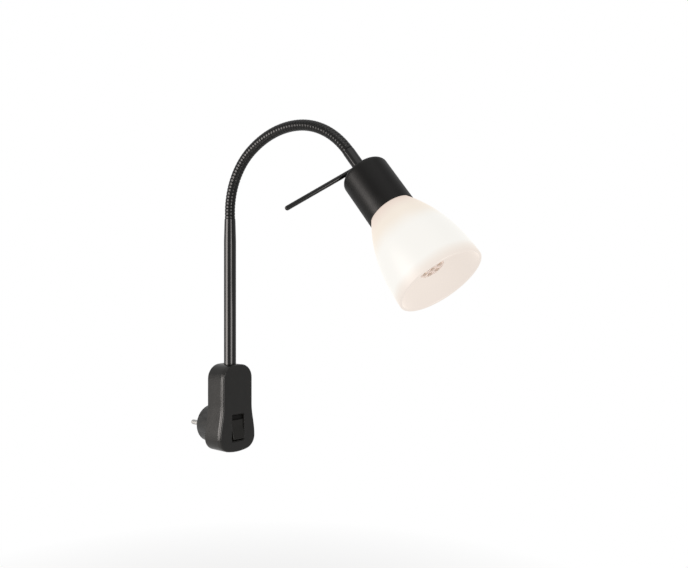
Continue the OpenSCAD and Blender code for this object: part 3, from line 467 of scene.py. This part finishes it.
def rings(angles, steps):
    """Grid through a list of loops and depths: each loop is read in the same directions; depth counts from
    the plug face to the front, so y is its negative. A loop of None is the middle itself."""
    r = np.stack([0 * angles if loop is None else polar(loop, angles) for loop, depth in steps], 1)
    o = np.array([depth for loop, depth in steps])[None] + 0 * r
    return np.stack([r * np.cos(angles)[:, None], -o, r * np.sin(angles)[:, None]], -1)


def directions(*loops):
    """All angles at which any of the loops has a point, sorted, so that no corner is cut off."""
    a = np.concatenate([np.arctan2(loop[:, 1], loop[:, 0]) for loop in loops])
    return np.unique(np.round(a, 5))


print("the outline has", len(directions(outline)), "directions")

# %% [markdown]
# All new pieces are skins over a grid of points. The grid has two directions, each of which can close on
# itself: a ring round an axis always does, and a profile does where the piece is a closed solid. Points
# that fall together, at a pole or a seam, are merged, and edges sharper than a limit stay crisp. Then each
# piece gets its finish, and most ride on a body of the CAD model, so that they move with the joints.

# %% Skins over grids of points
SAME_POINT = 2e-7


def skin(name, points, closed_u=True, closed_v=True, sharp=38.0):
    """Object whose quads join points[u, v] with its neighbours in u and v, in millimetres; the UV map counts
    the shares of both directions."""
    nu, nv = points.shape[:2]
    rows, columns = np.arange(nu if closed_u else nu - 1), np.arange(nv if closed_v else nv - 1)
    u, v = np.meshgrid(rows, columns, indexing="ij")
    corner_u = np.stack([u, u + 1, u + 1, u], -1).reshape(-1, 4)
    corner_v = np.stack([v, v, v + 1, v + 1], -1).reshape(-1, 4)
    quads = (corner_u % nu) * nv + corner_v % nv
    mesh = bpy.data.meshes.new(name)
    mesh.from_pydata((points.reshape(-1, 3) * MM).tolist(), [], quads.tolist(), shade_flat=False)
    layer = mesh.uv_layers.new(name="UVMap")
    shares = np.stack([corner_u / nu, corner_v / nv], -1)
    layer.data.foreach_set("uv", shares.astype(np.float32).ravel())
    edit = bmesh.new()
    edit.from_mesh(mesh)
    bmesh.ops.remove_doubles(edit, verts=edit.verts, dist=SAME_POINT)
    bmesh.ops.recalc_face_normals(edit, faces=edit.faces)
    edit.to_mesh(mesh)
    edit.free()
    mesh.set_sharp_from_angle(angle=math.radians(sharp))
    piece = bpy.data.objects.new(name, mesh)
    bpy.context.scene.collection.objects.link(piece)
    return piece


def dress(piece, material, body, *replaced, slot=None):
    """Gives a piece its finish, lets it ride on a body if one is given, and hides the CAD nodes it stands
    for.
    """
    piece.data.materials.clear()
    piece.data.materials.append(material)
    if body:
        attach(piece, body)
    if replaced:
        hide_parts(*replaced)
    print(piece.name, len(piece.data.polygons), "faces")
    return piece


print("skins merge points closer than", SAME_POINT / MM, "mm")

# %% [markdown]
# The front cover is a moulded lid with a rounded front edge, and a fine groove runs where it meets the rear
# shell. Its rings start inside the switch opening and end in that groove. Each round is a quarter circle or
# a quarter ellipse, with one more ring close by that keeps the flat beside it flat.

# %% Front cover
SWITCH_W, SWITCH_H, SWITCH_R = 16.4, 27.2, 0.5
FRONT_IN, FRONT_DEEP, SEAM_R, OPENING_R = 1.4, 1.95, 0.45, 0.35
OPENING_HOLD, FACE_HOLD, EDGE_HOLD, SEAM_HOLD, SEAM_IN = 0.1, 0.3, 0.5, 0.05, 2.2
quarter = np.linspace(0, np.pi / 2, 10)


def opening(grow):
    """The switch opening, grown by a distance."""
    return box_loop(SWITCH_W / 2 + grow, SWITCH_H / 2 + grow, SWITCH_R + grow)


cover_steps = [(opening(0.0), SEAM_O), (opening(0.0), FRONT_O - OPENING_R - OPENING_HOLD)]
cover_steps += [(opening(OPENING_R * (1 - math.cos(a))), FRONT_O - OPENING_R * (1 - math.sin(a)))
                for a in quarter]
cover_steps += [(opening(OPENING_R + FACE_HOLD), FRONT_O), (housing_loop(FRONT_IN + EDGE_HOLD), FRONT_O)]
cover_steps += [(housing_loop(FRONT_IN * (1 - math.sin(a))), FRONT_O - FRONT_DEEP * (1 - math.cos(a)))
                for a in quarter]
cover_steps += [(outline, SEAM_O + SEAM_R + SEAM_HOLD)]
cover_steps += [(housing_loop(SEAM_R * (1 - math.cos(a))), SEAM_O + SEAM_R * (1 - math.sin(a)))
                for a in quarter]
cover_steps += [(housing_loop(SEAM_IN), SEAM_O)]
cover_angles = directions(outline, opening(0.0))
cover = skin("cover_front", rings(cover_angles, cover_steps))
dress(cover, moulded_black, "plug_housing", "front_cover", slot="housing_plastic")

# %% [markdown]
# The rear shell carries the round plug body with its notches and holes. Those cuts are exact in the CAD
# mesh, so the shell is a merged copy of that mesh. Merging the loose triangles lets the light run smoothly
# round the corners, and weighting the normals by area keeps the flats flat.

# %% Rear shell
LOOSE_GAP = 2e-6


def merged_copy(node, name, sharp=32.0):
    """Copy of a CAD node's mesh with its loose triangles joined and its gentle edges shaded smooth."""
    mesh = nodes[node].data.copy()
    mesh.name = name
    edit = bmesh.new()
    edit.from_mesh(mesh)
    bmesh.ops.remove_doubles(edit, verts=edit.verts, dist=LOOSE_GAP)
    edit.to_mesh(mesh)
    edit.free()
    mesh.shade_smooth()
    mesh.set_sharp_from_angle(angle=math.radians(sharp))
    piece = bpy.data.objects.new(name, mesh)
    bpy.context.scene.collection.objects.link(piece)
    even = piece.modifiers.new("even_normals", "WEIGHTED_NORMAL")
    even.weight = 100
    even.keep_sharp = True
    return piece


shell = merged_copy("rear_shell", "shell_rear")
print("rear shell has", len(shell.data.vertices), "points")

# %% [markdown]
# Towards the seam, the shell's side rolls in a little, which shows as a bright line along the housing. A
# bend needs points to act on, so the wall is first cut into bands. A Simple Deform modifier would move the
# whole shell, so the points near the outline are picked out and moved by a formula.

# %% Roll of the shell towards the seam
ROLL_O, ROLL_R, ROLL_BANDS, ROLL_REACH = 36.6, 8.0, 4, 1.2
CUT_NEAR = 1e-7


def rolled(piece):
    """Draws the outer wall in towards the seam by a circle's drop, the square of the depth past ROLL_O over
    twice the radius, after cutting the wall into bands. Outer points lie within ROLL_REACH of the outline."""
    mesh = piece.data
    edit = bmesh.new()
    edit.from_mesh(mesh)
    for depth in np.linspace(ROLL_O, SEAM_O - SEAM_R, ROLL_BANDS + 1)[:-1]:
        everything = [*edit.verts, *edit.edges, *edit.faces]
        bmesh.ops.bisect_plane(edit, geom=everything, plane_co=(0.0, -depth * MM, 0.0),
                               plane_no=(0.0, 1.0, 0.0), dist=CUT_NEAR)
    edit.to_mesh(mesh)
    edit.free()
    points = np.zeros(len(mesh.vertices) * 3)
    mesh.vertices.foreach_get("co", points)
    x, y, z = points.reshape(-1, 3).T
    reach = np.hypot(x, z)
    edge = polar(outline, np.arctan2(z, x)) * MM
    drop = np.maximum(-y - ROLL_O * MM, 0.0) ** 2 / (2 * ROLL_R * MM)
    share = np.where(reach > edge - ROLL_REACH * MM, 1 - drop / edge, 1.0)
    mesh.vertices.foreach_set("co", np.stack([x * share, y, z * share], -1).ravel())
    mesh.update()
    return piece


dress(rolled(shell), moulded_black, "plug_housing", "rear_shell", slot="housing_plastic")

# %% [markdown]
# The frame round the rocker is a box with a pocket, held behind the cover by its flange. It could be cut
# out of a block, but rings about its middle give it in one go: the back, the flange, the rounded rim that
# stands in the opening, and the pocket.

# %% Switch frame
FLANGE_X, FLANGE_Z, FLANGE_R, FLANGE_O, BACK_O = 9.7, 15.1, 0.6, 38.9, 25.0
RIM_X, RIM_Z, RIM_R, RIM_O, POCKET_O = 8.1, 13.5, 0.4, 41.2, 31.0
RIM_EDGE = [(0.0, 0.2), (0.07, 0.06), (0.2, 0.0), (0.5, 0.0), (0.64, 0.06), (0.7, 0.2)]


def rim(inset):
    """The outside of the frame's rim, drawn in by a distance."""
    return box_loop(RIM_X - inset, RIM_Z - inset, RIM_R)


flange = box_loop(FLANGE_X, FLANGE_Z, FLANGE_R)
pocket = rim(RIM_EDGE[-1][0])
frame_steps = [(None, BACK_O), (flange, BACK_O), (flange, FLANGE_O), (rim(0.0), FLANGE_O)]
frame_steps += [(rim(inset), RIM_O - drop) for inset, drop in RIM_EDGE]
frame_steps += [(pocket, POCKET_O), (None, POCKET_O)]
frame_angles = directions(*[loop for loop, depth in frame_steps if loop is not None])
switch_box = skin("switch_surround", rings(frame_angles, frame_steps), closed_v=False)
dress(switch_box, rocker_black, "plug_housing", "switch_frame", slot="housing_plastic")

# %% [markdown]
# The rocker is a shallow V that tips about a pin, with a step in its upper half. The faces above the step
# get a darker, less glossy black: painted shade over the sunk upper half. Its side view is a polygon with
# rounded corners that is drawn in a little at both ends, so that all its edges catch the light. A bevelled
# block would be close, but it has no step. It is stored as it is photographed, with the upper half pressed
# in.

# %% Side view of the rocker
ROCKER_TILT = math.radians(7)
ROCKER_HALF, ROCKER_RISE, ROCKER_W, PIVOT_O = 12.0, 5.4, 14.2, 36.6
STEP_Z, STEP_DEEP, STEP_RUN = 7.2, 1.7, 0.5
FOOT_HALF, FOOT_DEEP = 3.0, 1.6
ROCKER_ROUNDS = [0.5, 0.3, 0.5, 0.5, 0.3, 0.5, 0.3, 0.35, 0.8]
valley = ROCKER_RISE - ROCKER_HALF * math.tan(ROCKER_TILT)
slope = (ROCKER_RISE - valley) / ROCKER_HALF
step_o = valley + slope * STEP_Z
rocker_side = np.array([
    [-ROCKER_HALF, ROCKER_RISE], [-ROCKER_HALF + valley / 2, 0.0], [-FOOT_HALF, -FOOT_DEEP],
    [FOOT_HALF, -FOOT_DEEP], [ROCKER_HALF - valley / 2, 0.0], [ROCKER_HALF, ROCKER_RISE - STEP_DEEP],
    [STEP_Z + STEP_RUN, step_o - STEP_DEEP], [STEP_Z, step_o], [0.0, valley]])


def drawn_in(corners, inset):
    """Polygon with every side moved inwards: a corner moves by inset times the sum of its two side normals
    over one plus their product."""
    after = np.roll(corners, -1, 0) - corners
    n1 = np.stack([-after[:, 1], after[:, 0]], -1) / np.linalg.norm(after, axis=1, keepdims=True)
    n0 = np.roll(n1, 1, 0)
    return corners + inset * (n0 + n1) / (1 + (n0 * n1).sum(1, keepdims=True))


print("the rocker's valley lies", round(valley, 2), "mm before its pin")

# %% Rocker
EDGE, EDGE_BESIDE = 0.35, 0.2
END_MIDDLE = [0.0, 0.5]
PAINTED_SHADE_FROM = 0.45
slices = [(EDGE, 0.0)]
slices += [(EDGE * (1 - math.sin(a)), EDGE * (1 - math.cos(a))) for a in np.linspace(0, np.pi / 2, 5)]
slices += [(0.0, EDGE + EDGE_BESIDE)]
slices = [(inset, -ROCKER_W / 2 + along) for inset, along in slices]
slices += [(inset, -x) for inset, x in slices[::-1]]
loops = [rounded(drawn_in(rocker_side, inset), ROCKER_ROUNDS, 5) for inset, x in slices]
end = 0 * loops[0] + END_MIDDLE
side = np.stack([end] + loops + [end])
across = np.array([-ROCKER_W / 2] + [x for inset, x in slices] + [ROCKER_W / 2])
c, s = math.cos(-ROCKER_TILT), math.sin(-ROCKER_TILT)
z = side[..., 0] * c - side[..., 1] * s
o = side[..., 0] * s + side[..., 1] * c + PIVOT_O
key = skin("rocker_key", np.stack([across[:, None] + 0 * z, -o, z], -1), closed_u=False)
dress(key, rocker_black, "rocker", "rocker", slot="housing_plastic")
# The faces above the step get the darker black, and the print below counts them: painted shade over the sunk
# upper half.
key.data.materials.append(painted_shade_black)
middles = np.zeros(len(key.data.polygons) * 3)
key.data.polygons.foreach_get("center", middles)
recess = middles.reshape(-1, 3)[:, 2] > (STEP_Z + PAINTED_SHADE_FROM) * MM
key.data.polygons.foreach_set("material_index", recess.astype(np.int32))
print(int(recess.sum()), "faces in the rocker's recess with painted shade")

# %% [markdown]
# The stem is a plain tube with a swaged end: the same wall drawn down over the last stretch to grip the
# neck. A Screw modifier could turn its profile round an axis. Doing the same with a sine and a cosine gives
# the grid at once, and the arcs at the swage are very large, so that the tube narrows without a kink.

# %% Stem tube
STEM_FOOT, SWAGE_Z, STEM_R, SWAGE_R, STEM_T = 61.5, 185.0, 6.0, 5.4, 1.0


def revolve(profile, sides=96):
    """Grid of points with profile's radius and height carried round the Z axis: x = r cos, y = r sin."""
    turn = np.linspace(0, 2 * np.pi, sides, endpoint=False)[:, None]
    r, z = profile[None, :, 0], profile[None, :, 1]
    return np.stack([r * np.cos(turn), r * np.sin(turn), z + 0 * turn], -1)


def on_stem(points):
    """Carries points from the stem's frame, z up from the plug axis, to their place."""
    return points + np.array([0.0, STEM_Y, 0.0])


stem_profile = rounded(
    [[STEM_R - STEM_T, STEM_FOOT], [STEM_R, STEM_FOOT], [STEM_R, SWAGE_Z], [SWAGE_R, STEM_TOP],
     [SWAGE_R - STEM_T, STEM_TOP], [STEM_R - STEM_T, SWAGE_Z]], [0.1, 0.2, 30.0, 0.3, 0.3, 30.0], 8)
stem = skin("stem", on_stem(revolve(stem_profile, 128)))
dress(stem, lacquer_black, "plug_housing", "stem_tube", slot="black_metal")

# %% [markdown]
# The gooseneck is one ribbed hose on the middle line of arcs. An Array modifier along a curve could repeat
# a rib, but here the radius is simply a function of the length along the line: the crown's radius, less a
# narrow groove once every pitch. One grid then gives the whole skin, and it can be cut wherever it is
# needed.

# %% Ribbed hose
NECK_D, GROOVE_DEEP, CROWN_POWER, NECK_BORE = 10.1, 0.5, 6.0, 6.6
CORE_D = NECK_D - 2 * GROOVE_DEEP


def middle_line(s):
    """Point and lean of the neck at length s past the stem: straight before the first knot and after the last
    one, and between knots an arc with x = 0, y = -r (1 - cos a), z = r sin a in the knot's own frame."""
    k = np.clip(np.searchsorted(knot_s, s, side="right") - 1, 0, LINKS - 1)
    run = np.clip(s, knot_s[0], knot_s[-1]) - knot_s[k]
    a = run / bend_r[k]
    y, z = -bend_r[k] * (1 - np.cos(a)), bend_r[k] * np.sin(a)
    lean = knot_lean[k] + a
    extra = s - np.clip(s, knot_s[0], knot_s[-1])
    c, d = np.cos(knot_lean[k]), np.sin(knot_lean[k])
    point = knot_at[k] + np.stack([0 * s, y * c - z * d, y * d + z * c], -1)
    return point + extra[:, None] * np.stack([0 * s, -np.sin(lean), np.cos(lean)], -1), lean


def rib_radius(s):
    """Radius of the hose at length s: the crown's radius less a groove whose depth grows with a power of the
    distance from the rib's middle, so that broad round ribs meet in narrow grooves."""
    off = np.abs(np.mod(s / RIB_PITCH, 1.0) - 0.5) * 2
    return NECK_D / 2 - GROOVE_DEEP * off ** CROWN_POWER


def hose(s, radius, sides=48):
    """Grid of rings round the middle line: each is spanned by X and the normal in the neck's plane."""
    point, lean = middle_line(s)
    turn = np.linspace(0, 2 * np.pi, sides, endpoint=False)[:, None]
    normal = np.stack([0 * s, np.cos(lean), np.sin(lean)], -1)[None]
    ring = np.cos(turn)[..., None] * np.array([1.0, 0.0, 0.0]) + np.sin(turn)[..., None] * normal
    return point[None] + radius[None, :, None] * ring


print("neck is", round(knot_s[-1], 1), "mm long with", int(round(knot_s[-1] / RIB_PITCH)), "ribs")

# %% [markdown]
# The CAD model moves the neck in thirteen hinges. At the first hinge and at the sideways ones, the skin is
# one piece that spans the hinge and rides on no body. Each piece reaches from near the middle of one link to
# that of the next, and it ends in a groove, where a cut doesn't show.

# %% Skin of the neck
RIB_STEPS, RIBS_BEFORE, RIBS_AFTER = 14, 3, 2
NECK_TAIL = [-6.0, -0.2]
rib_share = 0.5 + 0.5 * np.sin(np.pi * (np.arange(RIB_STEPS) / RIB_STEPS - 0.5))
bodies = ["plug_housing"] + ["neck_link_%d" % k for k in range(1, LINKS + 1)] + ["head"]
turning = list(range(2, LINKS + 1, 2))
bending = [k for k in range(LINKS + 1) if k not in turning]


def rib_run(first, last):
    """Lengths along the neck from groove to groove, closest in the grooves: half a sine wave per rib."""
    s = (np.arange(first, last)[:, None] + rib_share[None]).ravel() * RIB_PITCH
    return np.append(s, last * RIB_PITCH)


def span(k):
    """Start, hinge and end of the piece round hinge k, counted in ribs past the stem."""
    hinge = BASE_RIBS + LINK_RIBS * k
    return max(hinge - RIBS_BEFORE, 0), hinge, hinge + RIBS_AFTER


def bend(piece):
    """Bakes the piece's transform into its mesh."""
    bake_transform(piece)


for k in bending:
    first, hinge, last = span(k)
    s = rib_run(first, last)
    if k == 0:
        s = np.concatenate([NECK_TAIL, s])
    outside = np.where(s < 0, CORE_D / 2, rib_radius(s))
    points = np.concatenate([hose(s, outside), hose(s[::-1], np.full(len(s), NECK_BORE / 2))], 1)
    piece = skin("neck_%02d" % k, points)
    dress(piece, ribbed_black, None, "neck_base" if k == 0 else "neck_link_%d" % k, slot="black_metal")
    bend(piece)

# %% [markdown]
# At the other hinges the skin is cut in a groove. A plain cut would gape when the neck bends, so a ball on
# the lower piece turns in a socket in the upper one: the groove opens and closes, and nothing shows through
# it. Both are runs of rings on a sphere about the hinge. A fine valley round the ball goes on with the
# groove. The last ball has its socket in the sleeve of the head.

# %% Balls and sockets of the neck
BALL_R, SOCKET_R, LIP, VALLEY, LIP_CLEAR = 4.82, 4.9, 0.62, 0.27, 0.02
BALL_END, SOCKET_END = [math.sqrt(r * r - NECK_BORE ** 2 / 4) for r in (BALL_R, SOCKET_R)]


def round_run(radius, first, last, count=12):
    """Distances from a hinge and radii of a ball round it: radius times sine and cosine of even angles."""
    angle = np.linspace(math.asin(first / radius), math.asin(last / radius), count)
    return radius * np.stack([np.sin(angle), np.cos(angle)])


for k in turning:
    first, hinge, last = span(k)
    at = hinge * RIB_PITCH
    s = rib_run(first, hinge)
    s = np.append(s[s < at - LIP - LIP_CLEAR], at - LIP)
    groove, cap = round_run(BALL_R, -LIP, LIP, 9), round_run(BALL_R, LIP, BALL_END)
    ball_s, ball_r = np.concatenate([groove, cap[:, 1:]], 1)
    ball_r = ball_r - VALLEY * np.clip(1 - np.abs(ball_s) / LIP, 0, 1)
    back = np.linspace(at + BALL_END, first * RIB_PITCH, 8)[1:]
    points = hose(np.concatenate([s, at + ball_s, back]),
                  np.concatenate([rib_radius(s), ball_r, np.full(len(back), NECK_BORE / 2)]))
    dress(skin("neck_%02d_ball" % k, points), ribbed_black, bodies[k], bodies[k], slot="black_metal")
    if k == LINKS:
        break
    s = rib_run(hinge, last)
    s = np.append(at + LIP, s[s > at + LIP + LIP_CLEAR])
    socket_s, socket_r = round_run(SOCKET_R, SOCKET_END, LIP)
    back = np.linspace(last * RIB_PITCH, at + SOCKET_END, 6)[:-1]
    points = hose(np.concatenate([s, back, at + socket_s]),
                  np.concatenate([rib_radius(s), np.full(len(back), NECK_BORE / 2), socket_r]))
    piece = skin("neck_%02d_socket" % k, points)
    dress(piece, ribbed_black, bodies[k + 1], bodies[k + 1], slot="black_metal")

# %% [markdown]
# The cable inside the neck can't be seen, but it has to bend with the neck. One long tube could only ride
# on a single body, so it is cut at the same places as the skin, with a round end inside each ball.

# %% Cable in the neck
CABLE_D, CABLE_GAP, CABLE_SIDES = 5.0, 4.5, 24
sheath = finish("sheath_grey", dark=(0.05, 0.05, 0.05), light=(0.07, 0.07, 0.07), rough=(0.5, 0.6),
                grain=200.0, bump=20.0)


def cable(name, s, r):
    """Solid length of cable with radius r at length s, closed at both ends by a point on the middle line."""
    s, r = np.concatenate([s[:1], s, s[-1:]]), np.concatenate([[0.0], r, [0.0]])
    return skin(name, hose(s, r, CABLE_SIDES), closed_v=False)


for k in range(LINKS + 1):
    first, at, last = np.array(span(k)) * RIB_PITCH
    if k in bending:
        s = np.linspace(first, last, 12)
        piece = cable("cable_%02d" % k, s, np.full(len(s), CABLE_D / 2))
        dress(piece, sheath, None, "supply_cable", slot="cable_sheath")
        bend(piece)
        continue
    end_s, end_r = round_run(CABLE_D / 2, 0.0, CABLE_D / 2)
    s = np.linspace(first, at, 8)[:-1]
    r = np.append(np.full(len(s), CABLE_D / 2), end_r)
    piece = cable("cable_%02d" % k, np.append(s, at + end_s), r)
    dress(piece, sheath, bodies[k], "supply_cable", slot="cable_sheath")
    if k < LINKS:
        s = np.linspace(at + CABLE_GAP, last, 5)
        piece = cable("cable_%02d_on" % k, s, np.full(len(s), CABLE_D / 2))
        dress(piece, sheath, bodies[k + 1], "supply_cable", slot="cable_sheath")

# %% [markdown]
# One more length of cable runs up the stem, and a last one goes through the sleeve into the lampholder.
# Both are straight, so each is a rectangle carried round its axis.

# %% Cable in the stem and in the head
CABLE_FOOT, CABLE_END = 33.0, 15.0


def straight_cable(low, high):
    """Grid of a straight length of cable along Z between two heights."""
    r = CABLE_D / 2
    return revolve(np.array([[0.0, low], [r, low], [r, high], [0.0, high]]), CABLE_SIDES)


cable_stem = skin("cable_stem", on_stem(straight_cable(CABLE_FOOT, STEM_TOP)), closed_v=False)
dress(cable_stem, sheath, "plug_housing", "supply_cable", slot="cable_sheath")
cable_head = skin("cable_head", on_head(straight_cable(CABLE_GAP - FERRULE_LEN, CABLE_END)), closed_v=False)
dress(cable_head, sheath, "head", "supply_cable", slot="cable_sheath")

# %% [markdown]
# The head hangs from a smooth sleeve that is screwed through the cup. A thin rod with a round tip is the
# handle for aiming it: touching the rod instead of the cup keeps fingers off the hot metal. All of them are
# turned parts, so each is a profile carried round its axis, and the rod's axis is then laid across the
# head's.

# %% Sleeve
SLEEVE_R, THREAD_R, THREAD_END = 5.25, 4.95, 14.0
SLEEVE_START, SEAT_MIDDLE, SEAT_END = np.array([0.7, 2.32, 3.69]) - FERRULE_LEN
SEAT_R, SEAT_MIDDLE_R, SLEEVE_BORE_R = 4.90, 4.37, 3.3
sleeve_profile = rounded(
    [[SLEEVE_BORE_R, SEAT_END], [SEAT_MIDDLE_R, SEAT_MIDDLE], [SEAT_R, SLEEVE_START],
     [SLEEVE_R, SLEEVE_START], [SLEEVE_R, 0.0], [THREAD_R, 0.0], [THREAD_R, THREAD_END],
     [SLEEVE_BORE_R, THREAD_END]], [0.3, 0.3, 0.05, 0.2, 0.1, 0.1, 0.3, 0.1])
sleeve = skin("sleeve", on_head(revolve(sleeve_profile)))
dress(sleeve, lacquer_black, "head", "arm_ferrule", slot="black_metal")

# %% Handle rod
ROD_TURN, ROD_RISE, ROD_R, ROD_REACH = math.radians(232), 7.0, 2.1, 73.0
SPIGOT_R, SPIGOT_START, ROD_START, ROD_CHAMFER, ROD_HOLD = 1.45, 3.5, 5.3, 0.3, 0.9
foot = [[0.0, SPIGOT_START], [SPIGOT_R, SPIGOT_START], [SPIGOT_R, ROD_START],
        [ROD_R - ROD_CHAMFER, ROD_START], [ROD_R, ROD_START + ROD_CHAMFER], [ROD_R, ROD_START + ROD_HOLD]]
tip = arc(0.0, ROD_REACH - ROD_R, ROD_R, 0.0, np.pi / 2, 12)
outward = np.array([math.cos(ROD_TURN), math.sin(ROD_TURN), 0.0])
sideways = np.array([-math.sin(ROD_TURN), math.cos(ROD_TURN), 0.0])
upright = np.array([0.0, 0.0, 1.0])
rod_points = revolve(np.concatenate([foot, tip]), 48) @ np.stack([sideways, upright, outward])
handle = skin("handle", on_head(rod_points - ROD_RISE * upright), closed_v=False)
dress(handle, lacquer_black, "head", "handle_rod", slot="black_metal")

# %% [markdown]
# The cup is a deep-drawn can with a round shoulder and a thin open edge, lacquered in a softer black than
# the sleeve. A cylinder with a bevel and a Solidify modifier would come close, but the profile with both of
# its walls shows the wall's thickness exactly.

# %% Cup
CUP_R, CUP_T, CUP_HOLE_R = 21.0, 0.8, 5.05
cup_profile = rounded(
    [[CUP_HOLE_R, 0.0], [CUP_R, 0.0], [CUP_R, CUP_LEN], [CUP_R - CUP_T, CUP_LEN], [CUP_R - CUP_T, CUP_T],
     [CUP_HOLE_R, CUP_T]], [0.1, 5.0, 0.3, 0.3, 4.2, 0.1], 10)
dress(skin("cup_shell", on_head(revolve(cup_profile, 128))), satin_black, "head", "cup", slot="black_metal")

# %% [markdown]
# The bell of the shade follows a power curve: the radius falls short of the mouth's radius by a share that
# shrinks with the power 2.4 of the distance to the mouth. A few Bezier points could be fitted by eye, but a
# power curve has no bumps. The inner wall runs parallel at the glass's thickness, and a half circle joins
# both at the lip, as fire polishing leaves it.

# %% Glass shade
MOUTH_R, NECK_R, BELL_POWER, GLASS_T, SHADE_IN, SHADE_HOLE_R = 37.5, 19.9, 2.4, 2.4, 4.0, 14.3
t = np.linspace(-SHADE_IN, SHADE_LEN - GLASS_T / 2, 64)
bell = MOUTH_R - (MOUTH_R - NECK_R) * np.maximum(1 - t / SHADE_LEN, 0.0) ** BELL_POWER
outer = np.stack([bell, CUP_LEN + t], -1)
lip = arc(bell[-1] - GLASS_T / 2, outer[-1, 1], GLASS_T / 2, 0.0, np.pi, 12)[1:-1]
plate_z = CUP_LEN - SHADE_IN + GLASS_T
inner = (outer - [GLASS_T, 0.0])[outer[:, 1] > plate_z][::-1]
neck_plate = np.array([[SHADE_HOLE_R, plate_z], [SHADE_HOLE_R, CUP_LEN - SHADE_IN]])
shade = skin("shade_bell", on_head(revolve(np.concatenate([outer, lip, inner, neck_plate]), 160)))
dress(shade, opal_glass, "head", "glass_shade", slot="opal_glass")

# %% [markdown]
# Inside the shade, a tubular bulb with a small screw cap stands in its holder. Its end carries a round
# board with small square light chips, which is what one sees through the mouth. Base, tube and board are
# separate turned pieces, because each has a finish of its own.

# %% Bulb
COLLAR_Z, CONE_Z, BASE_Z, TUBE_Z = CUP_LEN + np.array([-1.5, 7.2, 13.2, 17.2])
COLLAR_R, BASE_R, TUBE_R, TUBE_T, TUBE_LEN = 7.5, 12.5, 12.4, 1.0, 42.0
BOARD_R, BOARD_LEDGE, BOARD_T = 11.0, 0.8, 1.6
board_z = TUBE_Z + TUBE_LEN
bore_r = TUBE_R - TUBE_T
white_plastic = finish("white_plastic", dark=(0.72, 0.70, 0.67), light=(0.78, 0.76, 0.73), rough=(0.4, 0.5),
                       grain=90.0, bump=20.0)
board_paint = finish("board_paint", dark=(0.74, 0.62, 0.56), light=(0.88, 0.76, 0.69), rough=(0.4, 0.5),
                     grain=300.0, bump=30.0)


def bulb_piece(name, corners, radii, material, node):
    """Turned piece of the bulb, from the corners of its profile and their radii."""
    piece = skin(name, on_head(revolve(rounded(corners, radii), 64)))
    dress(piece, material, "head", node, slot="bulb_plastic")


bulb_piece("bulb_base", [[0.0, COLLAR_Z], [COLLAR_R, COLLAR_Z], [COLLAR_R, CONE_Z], [BASE_R, BASE_Z],
                         [BASE_R, TUBE_Z], [0.0, TUBE_Z]],
           [0.0, 0.4, 1.0, 2.0, 0.3, 0.0], white_plastic, "bulb_body")
bulb_piece("bulb_light", [[bore_r, TUBE_Z], [TUBE_R, TUBE_Z], [TUBE_R, board_z], [bore_r, board_z]],
           [0.1, 0.1, 0.4, 0.2], lit_tube, "bulb_tube")
bulb_piece("bulb_board", [[0.0, board_z], [bore_r, board_z], [bore_r, board_z + BOARD_LEDGE],
                          [BOARD_R, board_z + BOARD_LEDGE], [BOARD_R, board_z + BOARD_T],
                          [0.0, board_z + BOARD_T]],
           [0.0, 0.1, 0.1, 0.1, 0.3, 0.0], board_paint, "led_board")

# %% [markdown]
# The pieces that stay as CAD nodes are small or hidden: pins, screws, nuts, contacts, wires and the
# lampholder. Their shapes are right as they are, so they keep their exact meshes and only get finishes.

# %% Finishes of the inner pieces
nickel = finish("nickel_plate", dark=(0.55, 0.54, 0.52), light=(0.66, 0.65, 0.63), rough=(0.22, 0.30),
                grain=160.0, bump=2.0, metallic=1.0)
brass = finish("bare_brass", dark=(0.50, 0.34, 0.12), light=(0.62, 0.44, 0.18), rough=(0.28, 0.36),
               grain=160.0, bump=3.0, metallic=1.0)
aluminium = finish("plain_aluminium", dark=(0.60, 0.59, 0.57), light=(0.70, 0.69, 0.67), rough=(0.28, 0.36),
                   grain=160.0, bump=3.0, metallic=1.0)
ivory = finish("ivory_insulation", dark=(0.66, 0.63, 0.54), light=(0.74, 0.71, 0.62), rough=(0.42, 0.52),
               grain=110.0, bump=20.0)
brown = finish("brown_insulation", dark=(0.13, 0.055, 0.02), light=(0.17, 0.075, 0.03), rough=(0.45, 0.55),
               grain=220.0, bump=20.0)
blue = finish("blue_insulation", dark=(0.03, 0.09, 0.28), light=(0.045, 0.12, 0.34), rough=(0.45, 0.55),
              grain=220.0, bump=20.0)
phosphor = finish("phosphor_yellow", dark=(0.50, 0.40, 0.33), light=(0.62, 0.51, 0.43), rough=(0.35, 0.45),
                  grain=400.0, bump=20.0)
coats = {
    "plug_pins": nickel, "housing_screws": nickel, "clamp_screws": nickel, "stem_nipple": nickel,
    "stem_washer": nickel, "stem_nut": nickel, "cup_nut": nickel,
    "switch_terminals": brass, "screw_contact": brass, "centre_contact": brass, "bulb_cap": aluminium,
    "pin_bridge": ivory, "clamp_bar": ivory, "holder_cap": ivory, "holder_body": ivory, "shade_ring": ivory,
    "live_link": brown, "live_core": brown, "holder_wires": brown, "neutral_core": blue,
    "led_chips": phosphor}
for node, coat in coats.items():
    nodes[node].data.materials.clear()
    nodes[node].data.materials.append(coat)
print(len(coats), "CAD nodes keep their meshes")
